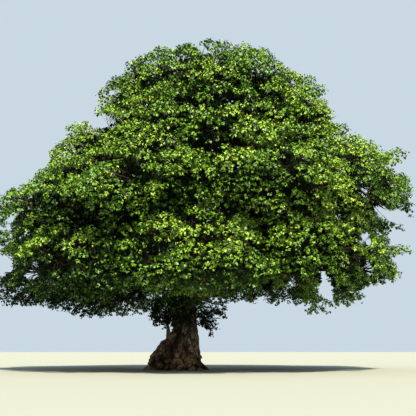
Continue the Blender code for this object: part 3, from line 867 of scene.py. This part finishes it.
def furrowed_bark(settings):
    """Old maple bark, weathered: grey-brown plates on the ridges, dark furrows, a redder, damp foot."""
    material, shader = new_material("furrowed_maple_bark", settings.ridge_colour, 0.88)
    tree = material.node_tree
    place = add_node(tree, "TexCoord")
    plates = add_node(tree, "Mapping", {"Scale": (1, 1, PLATE_STRETCH)}, {"Vector": (place, "Object")})
    size = {"Scale": 1 / BEND_SPACING, "Detail": 3.0}
    warp = add_node(tree, "TexNoise", size, {"Vector": (plates, 0)})
    bent = add_node(tree, "VectorMath", {"Scale": BEND_REACH}, {0: (warp, "Color")}, operation="SCALE")
    moved = add_node(tree, "VectorMath", None, {0: (plates, 0), 1: (bent, 0)}, operation="ADD")
    size = {"Scale": 1 / settings.plate_width}
    crack = add_node(tree, "TexVoronoi", size, {"Vector": (moved, 0)}, feature="DISTANCE_TO_EDGE")
    edge = add_node(tree, "MapRange", {"From Max": 0.16}, {"Value": (crack, "Distance")})
    # The mesh carries painted shade for its furrows, its fold and between the knobs of its foot, which
    # picks the tone with the cracks.
    ridge = add_node(tree, "Attribute", attribute_name="ridge")
    height = add_node(tree, "Math", None, {0: (ridge, "Fac"), 1: (edge, 0)}, operation="MULTIPLY")
    tone = add_node(tree, "ValToRGB", None, {"Fac": (height, 0)})
    # The furrows' near-black is partly the bark's own dark and partly painted shade.
    colours = (settings.furrow_colour, settings.side_colour, settings.ridge_colour)
    set_ramp(tone, *zip((0.05, 0.42, 0.85), colours))
    size = {"Scale": 1 / WEATHER_SIZE, "Detail": 4.0}
    patch = add_node(tree, "TexNoise", size, {"Vector": (place, "Object")})
    weather = add_node(tree, "MapRange", {"From Min": 0.45, "From Max": 0.7}, {"Value": (patch, 0)})
    split = add_node(tree, "SeparateXYZ", None, {0: (place, "Object")})
    damp = {"From Min": DAMP_TOP, "From Max": DAMP_FULL, "To Max": DAMP_MOST}
    low = add_node(tree, "MapRange", damp, {"Value": (split, "Z")})
    # Weather greys the plates in patches, and the damp darkens the foot.
    stained, output = tone, "Color"
    for share, colour in ((weather, settings.lichen_colour), (low, settings.foot_colour)):
        links = {"Factor": (share, 0), "A": (stained, output)}
        kind = {"data_type": "RGBA", "blend_type": "MULTIPLY"}
        stained, output = add_node(tree, "Mix", {"B": (*colour, 1)}, links, **kind), "Result"
    tree.links.new(stained.outputs[output], shader.inputs["Base Color"])
    size = {"Scale": 1 / GRAIN_SIZE, "Detail": 5.0}
    grain = add_node(tree, "TexNoise", size, {"Vector": (plates, 0)})
    both = add_node(tree, "Math", None, {0: (edge, 0), 1: (grain, 0)}, operation="ADD")
    relief = add_node(tree, "Bump", {"Distance": GRAIN_RELIEF, "Strength": 0.8}, {"Height": (both, 0)})
    tree.links.new(relief.outputs["Normal"], shader.inputs["Normal"])
    return material


def young_bark(settings):
    """Smooth bark of young shoots, grown within a few years: olive-brown, dull."""
    return new_material("smooth_young_bark", settings.shoot_colour, 0.75)[0]


def leaf_skin(name, colour):
    """A healthy maple leaf: a thin skin coated in wax, so its green shows a soft, broad gloss towards
    the sky.
    """
    material, shader = new_material(name, colour, 0.42)
    shader.inputs["IOR"].default_value = 1.42
    return material


def pale_floor(colour):
    """A matt painted floor, rolled: it takes a soft shadow and shows no gloss."""
    return new_material("matt_floor_paint", colour, 0.95)[0]


# --- Settings ---------------------------------------------------------------------------------------
def colour_setting(name, description, code):
    """A colour that a user can change, from its hex code."""
    return FloatVectorProperty(name=name, description=description, subtype="COLOR", default=linear(code))


def length_setting(name, description, metres):
    """A length that a user can change."""
    return FloatProperty(name=name, description=description, default=metres, unit="LENGTH")


def angle_setting(name, description, degrees):
    """An angle that a user can change."""
    turn = math.radians(degrees)
    return FloatProperty(name=name, description=description, default=turn, subtype="ANGLE")


class BarkSettings(PropertyGroup):
    """Sizes and colours of the bark."""

    furrow_depth: length_setting("Furrow depth", "How deep the bark's furrows are", 0.055)
    furrow_spacing: length_setting("Furrow spacing", "From one furrow to the next", 0.15)
    burl_height: length_setting("Burl height", "How far the knobs of the foot stand out", 0.20)
    plate_width: length_setting("Plate width", "Width of one plate of bark", 0.07)
    ridge_colour: colour_setting("Ridges", "Weathered plates", "DAC6AC")
    side_colour: colour_setting("Sides", "The sides of the plates", "957C63")
    furrow_colour: colour_setting("Furrows", "The bottom of the furrows", "241A14")
    lichen_colour: colour_setting("Weather", "Tint of the weathered patches", "D9DCCB")
    foot_colour: colour_setting("Foot", "Tint of the damp foot", "E6C4AF")
    shoot_colour: colour_setting("Shoots", "Young bark", "40382A")


class LeafSettings(PropertyGroup):
    """Sizes and colours of the leaves."""

    length: length_setting("Length", "Leaf and stalk", 0.21)
    pairs: IntProperty(name="Pairs", description="Pairs of leaves at a shoot's end", default=3)
    droop: angle_setting("Droop", "How far leaves hang", 24)
    # The inside leaves' near-black is painted shade; the darker tints elsewhere stand partly for painted
    # shade, the lighter ones partly for painted sunlight.
    shade: colour_setting("Inside", "Leaves inside the crown", "1F3610")
    deep: colour_setting("Deep green", "The darkest leaves outside", "2E4E1A")
    full: colour_setting("Full green", "Most leaves", "62862B")
    fresh: colour_setting("Fresh", "Lighter leaves", "7FA338")
    sunny: colour_setting("Sunny", "Leaves at the sunny tips", "96B14D")
    young: colour_setting("Young", "The youngest leaves", "B4BF6A")
    # Painted reflection: a pale blue-grey green for the sky's glint off some leaves.
    waxy: colour_setting("Waxy", "Leaves with a blue bloom", "86A878")


class StageSettings(PropertyGroup):
    """The floor, the light and the camera."""

    floor_colour: colour_setting("Floor", "The floor's paint", "A2A69F")
    sky_colour: colour_setting("Sky", "The soft light from all round", "E4F1FA")
    sky_strength: FloatProperty(name="Sky strength", description="Of that light", default=0.86)
    sun_colour: colour_setting("Key colour", "Of the key light", "FFF3DC")
    sun_strength: FloatProperty(name="Key strength", description="Of the key light", default=6.8)
    sun_softness: angle_setting("Key softness", "How wide the key light looks", 4)
    sun_height: angle_setting("Key height", "Above the horizon", 57)
    sun_side: angle_setting("Key side", "Off the camera's axis, to its right", 12)


# --- Pieces -----------------------------------------------------------------------------------------
TRUNK_SIDES = 264
LOW_RINGS, LOW_TOP = 92, 3.4  # the rings are close where the trunk shows, and open out above
HIGH_RINGS, HIGH_OPENS = 46, 1.35


def trunk_heights():
    """The height of each ring of the trunk."""
    low = [LOW_TOP * i / LOW_RINGS for i in range(LOW_RINGS)]
    shares = [(i / HIGH_RINGS) ** HIGH_OPENS for i in range(HIGH_RINGS + 1)]
    return low + [LOW_TOP + (TRUNK_TIP - LOW_TOP) * share for share in shares]


# The bark stands out on three scales: thick cords up the stem, furrows, and finer furrows in between.
CORD_WIDTH, CORD_LENGTH, CORD_MIDDLE, CORD_LIFT = 0.36, 2.6, 0.6, 3.0
FURROW_STRETCH = 5  # a furrow's length, in spacings
FINER_WIDTH, FINER_LENGTH, FINER_LIFT = 0.4, 1.5, 0.3  # beside the furrows
CORD_SHIFT, FINER_SHIFT = UP * 53, UP * 7  # to other parts of the noise, so that no two scales line up
FULL_RELIEF_RADIUS, LEAST_RADIUS = 0.5, 0.03
BURL_TOP, BURL_SPACING, BURL_FADE, BURL_MIDDLE, BURL_SLOPE = 1.25, 0.34, 1.8, 0.35, 1.5
# Painted shade: how light the bark is at the bottom of each furrow, beside its ridges, and how soon it
# is light again.
FINER_DARK, FURROW_DARK, CORD_DARK, KNOB_DARK, FOOT_DARK = 0.3, 0.4, 0.12, 0.05, 0.6
FURROW_GAIN, CORD_GAIN, RIDGE_GAIN, FOLD_SHADE = 1.6, 1.4, 1.4, 0.8
# Stumps of old shoots at the foot: azimuth in degrees, height, width and reach.
STUMPS = (
    (-168, 0.86, 0.20, 0.24),
    (176, 0.70, 0.18, 0.20),
    (-150, 0.98, 0.16, 0.16),
    (-20, 0.55, 0.16, 0.14),
)


def trunk_mesh(settings):
    """The whole stem with its buttresses, its burls and the relief of its bark."""
    heights = trunk_heights()
    bm = unit_tube(TRUNK_SIDES, len(heights))
    rows = [(trunk_axis(h), eased(TRUNK_PROFILE, h)[2]) for h in heights]
    spacing = settings.furrow_spacing
    ridge = []
    bm.verts.ensure_lookup_table()
    for v in bm.verts:
        i = round(v.co.z)
        height = heights[i]
        axis, plain = rows[i]
        outward = Vector((v.co.x, v.co.y, 0)).normalized()
        azimuth = math.degrees(math.atan2(outward.y, outward.x))
        radius = trunk_radius(azimuth, height, plain)
        at = axis + outward * radius
        cords = billow(at + CORD_SHIFT, CORD_WIDTH, CORD_LENGTH)
        fine = billow(at, spacing, spacing * FURROW_STRETCH)
        finer = billow(at + FINER_SHIFT, spacing * FINER_WIDTH, spacing * FINER_LENGTH)
        slim = min(1.0, plain / FULL_RELIEF_RADIUS)
        relief = CORD_LIFT * (cords - CORD_MIDDLE) + (fine - 0.5) + FINER_LIFT * (finer - 0.5)
        lift = slim * settings.furrow_depth * relief
        low = min(1.0, BURL_FADE * max(0.0, 1 - height / BURL_TOP))
        near, _ = noise.voronoi(at / BURL_SPACING)
        knob = max(0.0, 1 - (BURL_SLOPE * near[0]) ** 2)
        lift += settings.burl_height * low * (knob - BURL_MIDDLE)
        for middle, level, width, reach in STUMPS:
            aside = math.radians(degrees_between(azimuth, middle)) * radius
            lift += reach * bump(math.hypot(aside, height - level), width)
        v.co = axis + outward * max(LEAST_RADIUS, radius + lift)
        # How light the bark is painted: each scale of furrow darkens it with painted shade, and so does
        # the fold.
        stem = at_least(FINER_DARK, finer) * at_least(FURROW_DARK, FURROW_GAIN * fine)
        stem *= at_least(CORD_DARK, CORD_GAIN * cords)
        foot = at_least(KNOB_DARK, knob) * at_least(FOOT_DARK, finer)
        lit = 1 - FOLD_SHADE * fold_share(azimuth, height)
        ridge.append(min(1.0, RIDGE_GAIN * (stem * (1 - low) + foot * low) * lit))
    return smooth_mesh("trunk_bark", bm, ridge)


LIMB_SIDES = 16
COLLAR_SWELL, COLLAR_REACH = 0.45, 0.45  # a limb swells where it joins the trunk
LIMB_FURROW_WIDTH, LIMB_FURROW_LENGTH = 0.6, 1.4  # beside the trunk's furrow spacing
FURROW_SHARE, KNOT_SHARE, KNOT_WAVES = 0.16, 0.14, 1.3  # of the radius; waves for each metre


def limb_mesh(limb, settings):
    """One bough with a collar at its root and the relief of its bark."""
    path, radii = limb.path, limb.radii
    bm = unit_tube(LIMB_SIDES, len(path))
    frames = frames_along(path)
    width, length = (settings.furrow_spacing * s for s in (LIMB_FURROW_WIDTH, LIMB_FURROW_LENGTH))
    ridge = []
    for v in bm.verts:
        i = round(v.co.z)
        flat = Vector((v.co.x, v.co.y, 0))
        away = (path[i] - path[0]).length
        past_root = max(0.0, away - radii[0] / BOUGH_ROOT_SHARE)
        swell = 1 + COLLAR_SWELL * math.exp(-past_root / COLLAR_REACH)
        at = frames[i] @ (flat * radii[i])
        fine = billow(at, width, length)
        knot = noise.noise(at * KNOT_WAVES)
        radius = radii[i] * swell * (1 + FURROW_SHARE * (fine - 0.5) + KNOT_SHARE * knot)
        v.co = frames[i] @ (flat * radius)
        # Painted shade in the limb's furrows.
        ridge.append(at_least(FINER_DARK, fine))
    return smooth_mesh(limb.name + "_bark", bm, ridge)


def joined_mesh(name, points, corners):
    """A mesh from arrays: its points, and the three corners of each triangle."""
    mesh = bpy.data.meshes.new(name)
    mesh.vertices.add(len(points))
    mesh.vertices.foreach_set("co", np.ascontiguousarray(points, np.float32).ravel())
    mesh.loops.add(corners.size)
    mesh.loops.foreach_set("vertex_index", np.ascontiguousarray(corners, np.int32).ravel())
    mesh.polygons.add(len(corners))
    mesh.polygons.foreach_set("loop_start", np.arange(0, corners.size, 3, dtype=np.int32))
    mesh.update(calc_edges=True)
    mesh.validate()
    return mesh


SLANT = (0.31, 0.17, 0.93)  # a direction that no branch runs in
TUBE_TAPER, MAIN_SIDES, TWIG_SIDES = 0.8, 7, 3


def tubes(paths, radii, sides):
    """Points and triangles of many tapering tubes that end in a point: paths (n, k, 3), radii (n, k)."""
    count, rings = radii.shape
    ahead = unit(np.gradient(paths, axis=1))
    across = unit(np.cross(ahead[:, :1], np.array(SLANT)))
    across = unit(across - np.sum(across * ahead, axis=-1, keepdims=True) * ahead)
    third = np.cross(ahead, across)
    turns = np.arange(sides) * 2 * math.pi / sides
    ring = across[:, :, None] * np.cos(turns)[:, None] + third[:, :, None] * np.sin(turns)[:, None]
    points = paths[:, :, None] + ring * radii[:, :, None, None]
    points = np.concatenate([points[:, :-1].reshape(count, -1, 3), paths[:, -1:]], axis=1)
    j = np.arange(sides)
    after = (j + 1) % sides
    walls = []
    for i in range(rings - 2):
        a, b = i * sides, (i + 1) * sides
        walls.append(np.stack([a + j, a + after, b + after], axis=1))
        walls.append(np.stack([a + j, b + after, b + j], axis=1))
    last = (rings - 2) * sides
    walls.append(np.stack([last + j, last + after, np.full(sides, last + sides)], axis=1))
    corners = np.concatenate(walls)
    shifts = np.arange(count)[:, None, None] * points.shape[1]
    return points.reshape(-1, 3), (corners[None] + shifts).reshape(-1, 3)


def tube_arrays(rows):
    """Paths and radii as arrays from rows of (path, first radius, last radius)."""
    paths = np.array([[tuple(p) for p in path] for path, _, _ in rows])
    falls = np.linspace(0, 1, paths.shape[1]) ** TUBE_TAPER
    radii = np.array([first + (last - first) * falls for _, first, last in rows])
    return paths, radii


# A leaf's outline on the right of its midrib: along it, aside and up, as shares of the leaf's length.
STALK = ((0.0, 0.0, 0.0), (0.20, -0.014, -0.02))
MIDRIB = ((0.20, 0.0, -0.02), (1.0, 0.0, -0.14))
RIGHT_SIDE = ((0.60, 0.47, -0.07), (0.64, 0.17, 0.03))
LEAF_TIP = 1  # the number of the tip in leaf_shape's points


def leaf_shape(stalked):
    """Points and triangles of one leaf: a three-lobed blade, folded along its midrib, and its stalk."""
    left_side = [(x, -y, z) for x, y, z in RIGHT_SIDE]
    points = np.array([*MIDRIB, *RIGHT_SIDE, *left_side, *STALK])
    base, tip, lobe, notch, left_lobe, left_notch, foot, top = range(8)
    corners = [
        (base, notch, tip),
        (base, lobe, notch),
        (base, tip, left_notch),
        (base, left_notch, left_lobe),
    ]
    if stalked:
        return points, np.array([*corners, (foot, top, base)])
    return points[:foot], np.array(corners)


# A spray's mood is how light and yellow its leaves are: partly tone by chance and in patches, partly
# painted light and shade. A leaf's mood lies near it and picks its tint: shade below the first of
# TINT_MOODS, the next tint below the next, and sunny above the last.
TINTS = ("shade", "deep", "full", "fresh", "sunny", "young", "waxy")
TINT_MOODS = (-0.95, -0.46, -0.06, 0.42)
LEAF_MOOD, SPRAY_MOOD = 0.45, 0.22  # how far by chance: a leaf from its spray, a spray from its rule
PLAIN_MOOD, PATCH_MOOD, PATCH_WAVES = 0.12, 0.85, 0.42  # patches a little over 2 m wide
UPWARD_LIGHT, LEVEL_FACING, SIDE_LIGHT = 0.6, 0.75, 0.02  # painted light where a spray faces up, or stands to the right, towards the key light
OUTER_LIGHT, OUTER_DEPTH, DEPTH_SHADE = 0.18, 0.9, 0.25  # painted light near the skin, and painted shade for each metre deeper
LOW_LEAVES, LOW_SHADE, OPEN_SHADE = 5.6, 0.44, 0.20  # painted shade below this height, and in the low masses
EDGE_LEFT, EDGE_RIGHT, EDGE_SHADE = -6.0, 7.5, 0.17  # painted shade past these sides
HIGH_LEAVES, HIGH_SHADE = 12.0, 0.11  # painted shade above this height
# Shares of the young leaves, and of leaves in the painted sky reflection.
YOUNG_SHARE, GLINT_SHARE = 0.05, 0.05
GLINT_PATCH, GLINT_PATCH_SHARE, GLINT_SHIFT = 2.4, 0.30, UP * 31  # patches of this width have more leaves in the painted sky reflection


def spray_mood(spray, rng):
    """The mood of a spray: painted light and shade by where it faces and stands, and tone patch by
    patch.
    """
    patch = noise.noise(spray.centre * PATCH_WAVES)
    # Painted light near the skin, painted shade deeper in.
    outward = OUTER_LIGHT if spray.depth < OUTER_DEPTH else -DEPTH_SHADE * (spray.depth - OUTER_DEPTH)
    x, _, z = spray.centre
    # Painted shade low down, in the low masses, at the sides and at the top.
    low = max(0.0, LOW_LEAVES - z) * LOW_SHADE + (OPEN_SHADE if spray.mass.open else 0.0)
    edge = EDGE_SHADE * max(0.0, x - EDGE_RIGHT, EDGE_LEFT - x) + HIGH_SHADE * max(0.0, z - HIGH_LEAVES)
    # Painted light where the spray faces up and further right, towards the key light.
    mood = PLAIN_MOOD + PATCH_MOOD * patch + UPWARD_LIGHT * (spray.facing.z - LEVEL_FACING) + outward
    return mood - low - edge + SIDE_LIGHT * x + rng.uniform(-SPRAY_MOOD, SPRAY_MOOD)


def leaf_tints(sprays, owners, per, rng):
    """The tint of each leaf, in a row for each shoot, from the mood of the spray that owns the shoot."""
    mood_rng = random.Random(SEED)
    moods = np.array([spray_mood(spray, mood_rng) for spray in sprays])[owners, None]
    patches = np.array([noise.noise(spray.centre / GLINT_PATCH + GLINT_SHIFT) for spray in sprays])
    glints = GLINT_SHARE + GLINT_PATCH_SHARE * np.maximum(patches, 0)[owners, None]
    moods = moods + rng.uniform(-LEAF_MOOD, LEAF_MOOD, (len(owners), per))
    tints = np.searchsorted(TINT_MOODS, moods)
    chances = rng.random(moods.shape)
    tints[(moods > TINT_MOODS[2]) & (chances < YOUNG_SHARE)] = TINTS.index("young")
    # Painted sky reflection on some leaves lighter than the deep ones, more in patches.
    tints[(moods > TINT_MOODS[1]) & (chances > 1 - glints)] = TINTS.index("waxy")
    return tints


INNER_SIZE = 1.88  # the leaves of the shade, beside the others
# The youngest pair, at the shoot's tip, is small and upright; each older one is larger and hangs more.
PAIR_SIZE, PAIR_GROWS, PAIR_DROOP, PAIR_DROOPS = 0.74, 0.16, 0.25, 0.75
PAIR_TURN, PAIR_SPACING = math.radians(72), 0.05  # from one pair to the next
LEAF_SIZES = (0.84, 1.14)
FACING_SPREAD, TURN_SPREAD, DROOP_SPREAD, ROLL_SPREAD = 0.16, 0.30, 0.32, 0.60  # by chance
SHOOT_OUT, SHOOT_ALONG, SHOOT_UP = 0.55, 0.10, 0.66  # what a shoot's leaves face, in shares
ASIDE = (0.2, 0.95, 0.1)  # a direction that they hardly ever face


def leaf_turns(along, outwards, pair, droop, rng):
    """The heading, side and face of each leaf: for each shoot, a 3 by 3 array for each of its leaves."""
    count, per = len(along), len(pair)
    up, scatter = np.array([0, 0, SHOOT_UP]), rng.normal(0, FACING_SPREAD, (count, 3))
    facing = unit(unit(outwards) * SHOOT_OUT + along * SHOOT_ALONG + up + scatter)
    e1 = unit(np.cross(facing, np.array(ASIDE)))
    e2 = np.cross(facing, e1)
    crossing = pair * PAIR_TURN + (np.arange(per) % 2) * math.pi
    turns = rng.uniform(0, 2 * math.pi, (count, 1)) + crossing + rng.normal(0, TURN_SPREAD, (count, per))
    hang = droop * (PAIR_DROOP + PAIR_DROOPS * pair) + rng.normal(0, DROOP_SPREAD, (count, per))
    radial = e1[:, None] * np.cos(turns)[..., None] + e2[:, None] * np.sin(turns)[..., None]
    side = -e1[:, None] * np.sin(turns)[..., None] + e2[:, None] * np.cos(turns)[..., None]
    lean, sink = np.cos(hang)[..., None], np.sin(hang)[..., None]
    heading = radial * lean - facing[:, None] * sink
    face = facing[:, None] * lean + radial * sink
    roll = rng.normal(0, ROLL_SPREAD, (count, per, 1))
    side, face = side * np.cos(roll) + face * np.sin(roll), face * np.cos(roll) - side * np.sin(roll)
    return np.stack([heading, side, face], axis=2)


def leaves(settings, shade):
    """Each leaf's points and its tint, as arrays: of the shade sprays, or of all the others."""
    masses, _, _, sprays, shoots = crown()
    rng = np.random.default_rng(SEED)
    mine = [shoot for shoot in shoots if sprays[shoot[3]].inner == shade]
    roots, tips, outwards = (np.array([tuple(shoot[i]) for shoot in mine]) for i in range(3))
    along = unit(tips - roots)
    pair = np.arange(settings.pairs * 2) // 2
    tints = leaf_tints(sprays, np.array([shoot[3] for shoot in mine]), len(pair), rng)
    # All leaves inside the crown take the near-black shade tint: painted shade.
    if shade:
        tints[:] = TINTS.index("shade")
    turns = leaf_turns(along, outwards, pair, settings.droop, rng)
    size = settings.length * (INNER_SIZE if shade else 1.0)
    length = size * (PAIR_SIZE + PAIR_GROWS * pair) * rng.uniform(*LEAF_SIZES, tints.shape)
    starts = tips[:, None] - along[:, None] * (PAIR_SPACING * pair)[None, :, None]
    shape, corners = leaf_shape(stalked=not shade)
    points = starts[:, :, None] + (shape @ turns) * length[:, :, None, None]
    keep = kept_leaves(points, masses)
    return points[keep], tints[keep], corners


LEAF_CLEARANCE, BARK_SHARE = 0.05, 1.1  # from the limbs; the trunk with its bark, beside the plain one


def kept_leaves(points, masses):
    """True for each leaf that stays in the crown's reach, out of the gaps, and clear of the limbs."""
    tips, middles = points[:, :, LEAF_TIP], points.mean(axis=2)
    field_at, _ = skin_field(tips.reshape(-1, 3), masses)
    keep = (field_at + SKIN_OFFSET > 1 - RIM).reshape(tips.shape[:2]) & ~in_gap(middles)
    for path, radii in limb_lines():
        for a, b, radius in zip(path, path[1:], radii):
            keep &= distance_to_line(middles, np.array(a), np.array(b)) > radius + LEAF_CLEARANCE
    return keep


def limb_lines():
    """The trunk's and the limbs' centre lines, with the radius at each point."""
    _, limbs = skeleton()
    heights = [row[0] for row in TRUNK_PROFILE[1:]]
    yield [trunk_axis(h) for h in heights], [BARK_SHARE * eased(TRUNK_PROFILE, h)[2] for h in heights]
    for limb in limbs:
        yield limb.path[::3], limb.radii[::3]


def distance_to_line(points, a, b):
    """From each point to the nearest point between a and b."""
    run = b - a
    share = np.clip((points - a) @ run / (run @ run), 0, 1)
    return np.linalg.norm(points - (a + share[..., None] * run), axis=-1)


PIECE_LIMIT = 195000  # triangles


def foliage_nodes():
    """The names of all the masses, which the branches and leaves stand for together."""
    return [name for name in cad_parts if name.endswith("foliage") or "_foliage_" in name]


# --- Operators --------------------------------------------------------------------------------------
class TREE_OT_trunk(Operator):
    """Make the trunk in its bark"""

    bl_idname = "tree.trunk"
    bl_label = "Trunk"

    def execute(self, context):
        bark = furrowed_bark(context.scene.tree_bark)
        add_piece("trunk_in_bark", trunk_mesh(context.scene.tree_bark), bark, ["trunk"])
        return {"FINISHED"}


class TREE_OT_boughs(Operator):
    """Make the boughs and the side stem in their bark"""

    bl_idname = "tree.boughs"
    bl_label = "Boughs"

    def execute(self, context):
        bark = bpy.data.materials["furrowed_maple_bark"]
        _, limbs = skeleton()
        for limb in limbs:
            mesh = limb_mesh(limb, context.scene.tree_bark)
            add_piece(limb.name + "_in_bark", mesh, bark, [limb.name])
        return {"FINISHED"}


class TREE_OT_branches(Operator):
    """Grow the branches and shoots inside the masses"""

    bl_idname = "tree.branches"
    bl_label = "Branches"

    def execute(self, context):
        _, mains, branches, _, shoots = crown()
        bark = young_bark(context.scene.tree_bark)
        shoots = [((root, tip), SHOOT_RADIUS, SHOOT_TIP_RADIUS) for root, tip, _, _ in shoots]
        for name, rows, sides in (
            ("main_branches", mains, MAIN_SIDES),
            ("branches", branches, TWIG_SIDES),
            ("shoots", shoots, TWIG_SIDES),
        ):
            mesh = joined_mesh(name, *tubes(*tube_arrays(rows), sides))
            add_piece(name, mesh, bark, foliage_nodes())
        return {"FINISHED"}


class TREE_OT_leaves(Operator):
    """Grow the leaves, in one piece or more for each tint"""

    bl_idname = "tree.leaves"
    bl_label = "Leaves"

    def execute(self, context):
        settings = context.scene.tree_leaves
        nodes = foliage_nodes()
        for shade in (False, True):
            points, tints, corners = leaves(settings, shade)
            most = PIECE_LIMIT // len(corners)
            for i, tint in enumerate(TINTS):
                mine = points[tints == i]
                if not len(mine):
                    continue
                kind = f"{tint}_leaves_inside" if shade else f"{tint}_leaves"
                material = bpy.data.materials.get(f"maple_leaf_{tint}") or leaf_skin(
                    f"maple_leaf_{tint}", getattr(settings, tint)
                )
                for j in range(math.ceil(len(mine) / most)):
                    part = mine[j * most : (j + 1) * most]
                    shifted = corners[None] + (np.arange(len(part)) * part.shape[1])[:, None, None]
                    name = f"{kind}_{j + 1}"
                    mesh = joined_mesh(name, part.reshape(-1, 3), shifted.reshape(-1, 3))
                    add_piece(name, mesh, material, nodes)
        return {"FINISHED"}


CAMERA_PLACE, CAMERA_AIM = Vector((1.27, -45.0, 1.05)), Vector((1.27, 0.0, 8.86))
CAMERA_HALF_VIEW, CAMERA_REACH = math.radians(14.26), 1500.0
FLOOR_RADIUS, FLOOR_SIDES, FLOOR_DROP = 400.0, 96, 1 * MM
VIEW_GAMMA = 0.76  # under 1, shade goes darker and the brightest tones stay


class TREE_OT_stage(Operator):
    """Set the floor, the light and the camera"""

    bl_idname = "tree.stage"
    bl_label = "Stage"

    def execute(self, context):
        scene, settings = context.scene, context.scene.tree_stage
        bm = bmesh.new()
        bmesh.ops.create_circle(bm, cap_ends=True, segments=FLOOR_SIDES, radius=FLOOR_RADIUS)
        bmesh.ops.translate(bm, vec=(0, 0, -FLOOR_DROP), verts=bm.verts)
        mesh = bpy.data.meshes.new("floor")
        bm.to_mesh(mesh)
        bm.free()
        mesh.materials.append(pale_floor(settings.floor_colour))
        floor = new_object("floor", mesh)

        world = bpy.data.worlds.new("soft_sky")
        world.use_nodes = True
        background = world.node_tree.nodes["Background"]
        background.inputs["Color"].default_value = (*settings.sky_colour, 1)
        background.inputs["Strength"].default_value = settings.sky_strength
        scene.world = world

        light = bpy.data.lights.new("key", "SUN")
        light.energy = settings.sun_strength
        light.angle = settings.sun_softness
        light.color = settings.sun_colour
        level, side = settings.sun_height, settings.sun_side
        flat = math.cos(level)
        towards = Vector((math.sin(side) * flat, -math.cos(side) * flat, math.sin(level)))
        new_object("key", light).rotation_euler = towards.to_track_quat("Z", "Y").to_euler()

        lens = bpy.data.cameras.new("camera")
        lens.lens = lens.sensor_width / 2 / math.tan(CAMERA_HALF_VIEW)
        lens.clip_end = CAMERA_REACH
        camera = new_object("camera", lens)
        camera.location = CAMERA_PLACE
        camera.rotation_euler = (CAMERA_AIM - CAMERA_PLACE).to_track_quat("-Z", "Y").to_euler()
        scene.camera = camera
        scene.view_settings.view_transform = "Standard"
        scene.view_settings.gamma = VIEW_GAMMA
        return {"FINISHED"}


class TREE_PT_panel(Panel):
    """Lists the steps that grow the tree"""

    bl_idname = "TREE_PT_panel"
    bl_label = "Sycamore maple"
    bl_space_type = "VIEW_3D"
    bl_region_type = "UI"
    bl_category = "Tree"

    def draw(self, context):
        for operator in STEPS:
            self.layout.operator(operator.bl_idname)
        for name in SETTINGS:
            box = self.layout.box()
            group = getattr(context.scene, name)
            for prop in group.bl_rna.properties:
                if prop.identifier not in ("rna_type", "name"):
                    box.prop(group, prop.identifier)


STEPS = (TREE_OT_trunk, TREE_OT_boughs, TREE_OT_branches, TREE_OT_leaves, TREE_OT_stage)
SETTINGS = {"tree_bark": BarkSettings, "tree_leaves": LeafSettings, "tree_stage": StageSettings}


def register():
    for made in (*SETTINGS.values(), *STEPS, TREE_PT_panel):
        bpy.utils.register_class(made)
    for name, group in SETTINGS.items():
        setattr(bpy.types.Scene, name, PointerProperty(type=group))


def unregister():
    for name in SETTINGS:
        delattr(bpy.types.Scene, name)
    for made in (TREE_PT_panel, *reversed(STEPS), *SETTINGS.values()):
        bpy.utils.unregister_class(made)


def main():
    register()
    for step in STEPS:
        group, name = step.bl_idname.split(".")
        getattr(getattr(bpy.ops, group), name)()


if __name__ == "__main__":
    main()
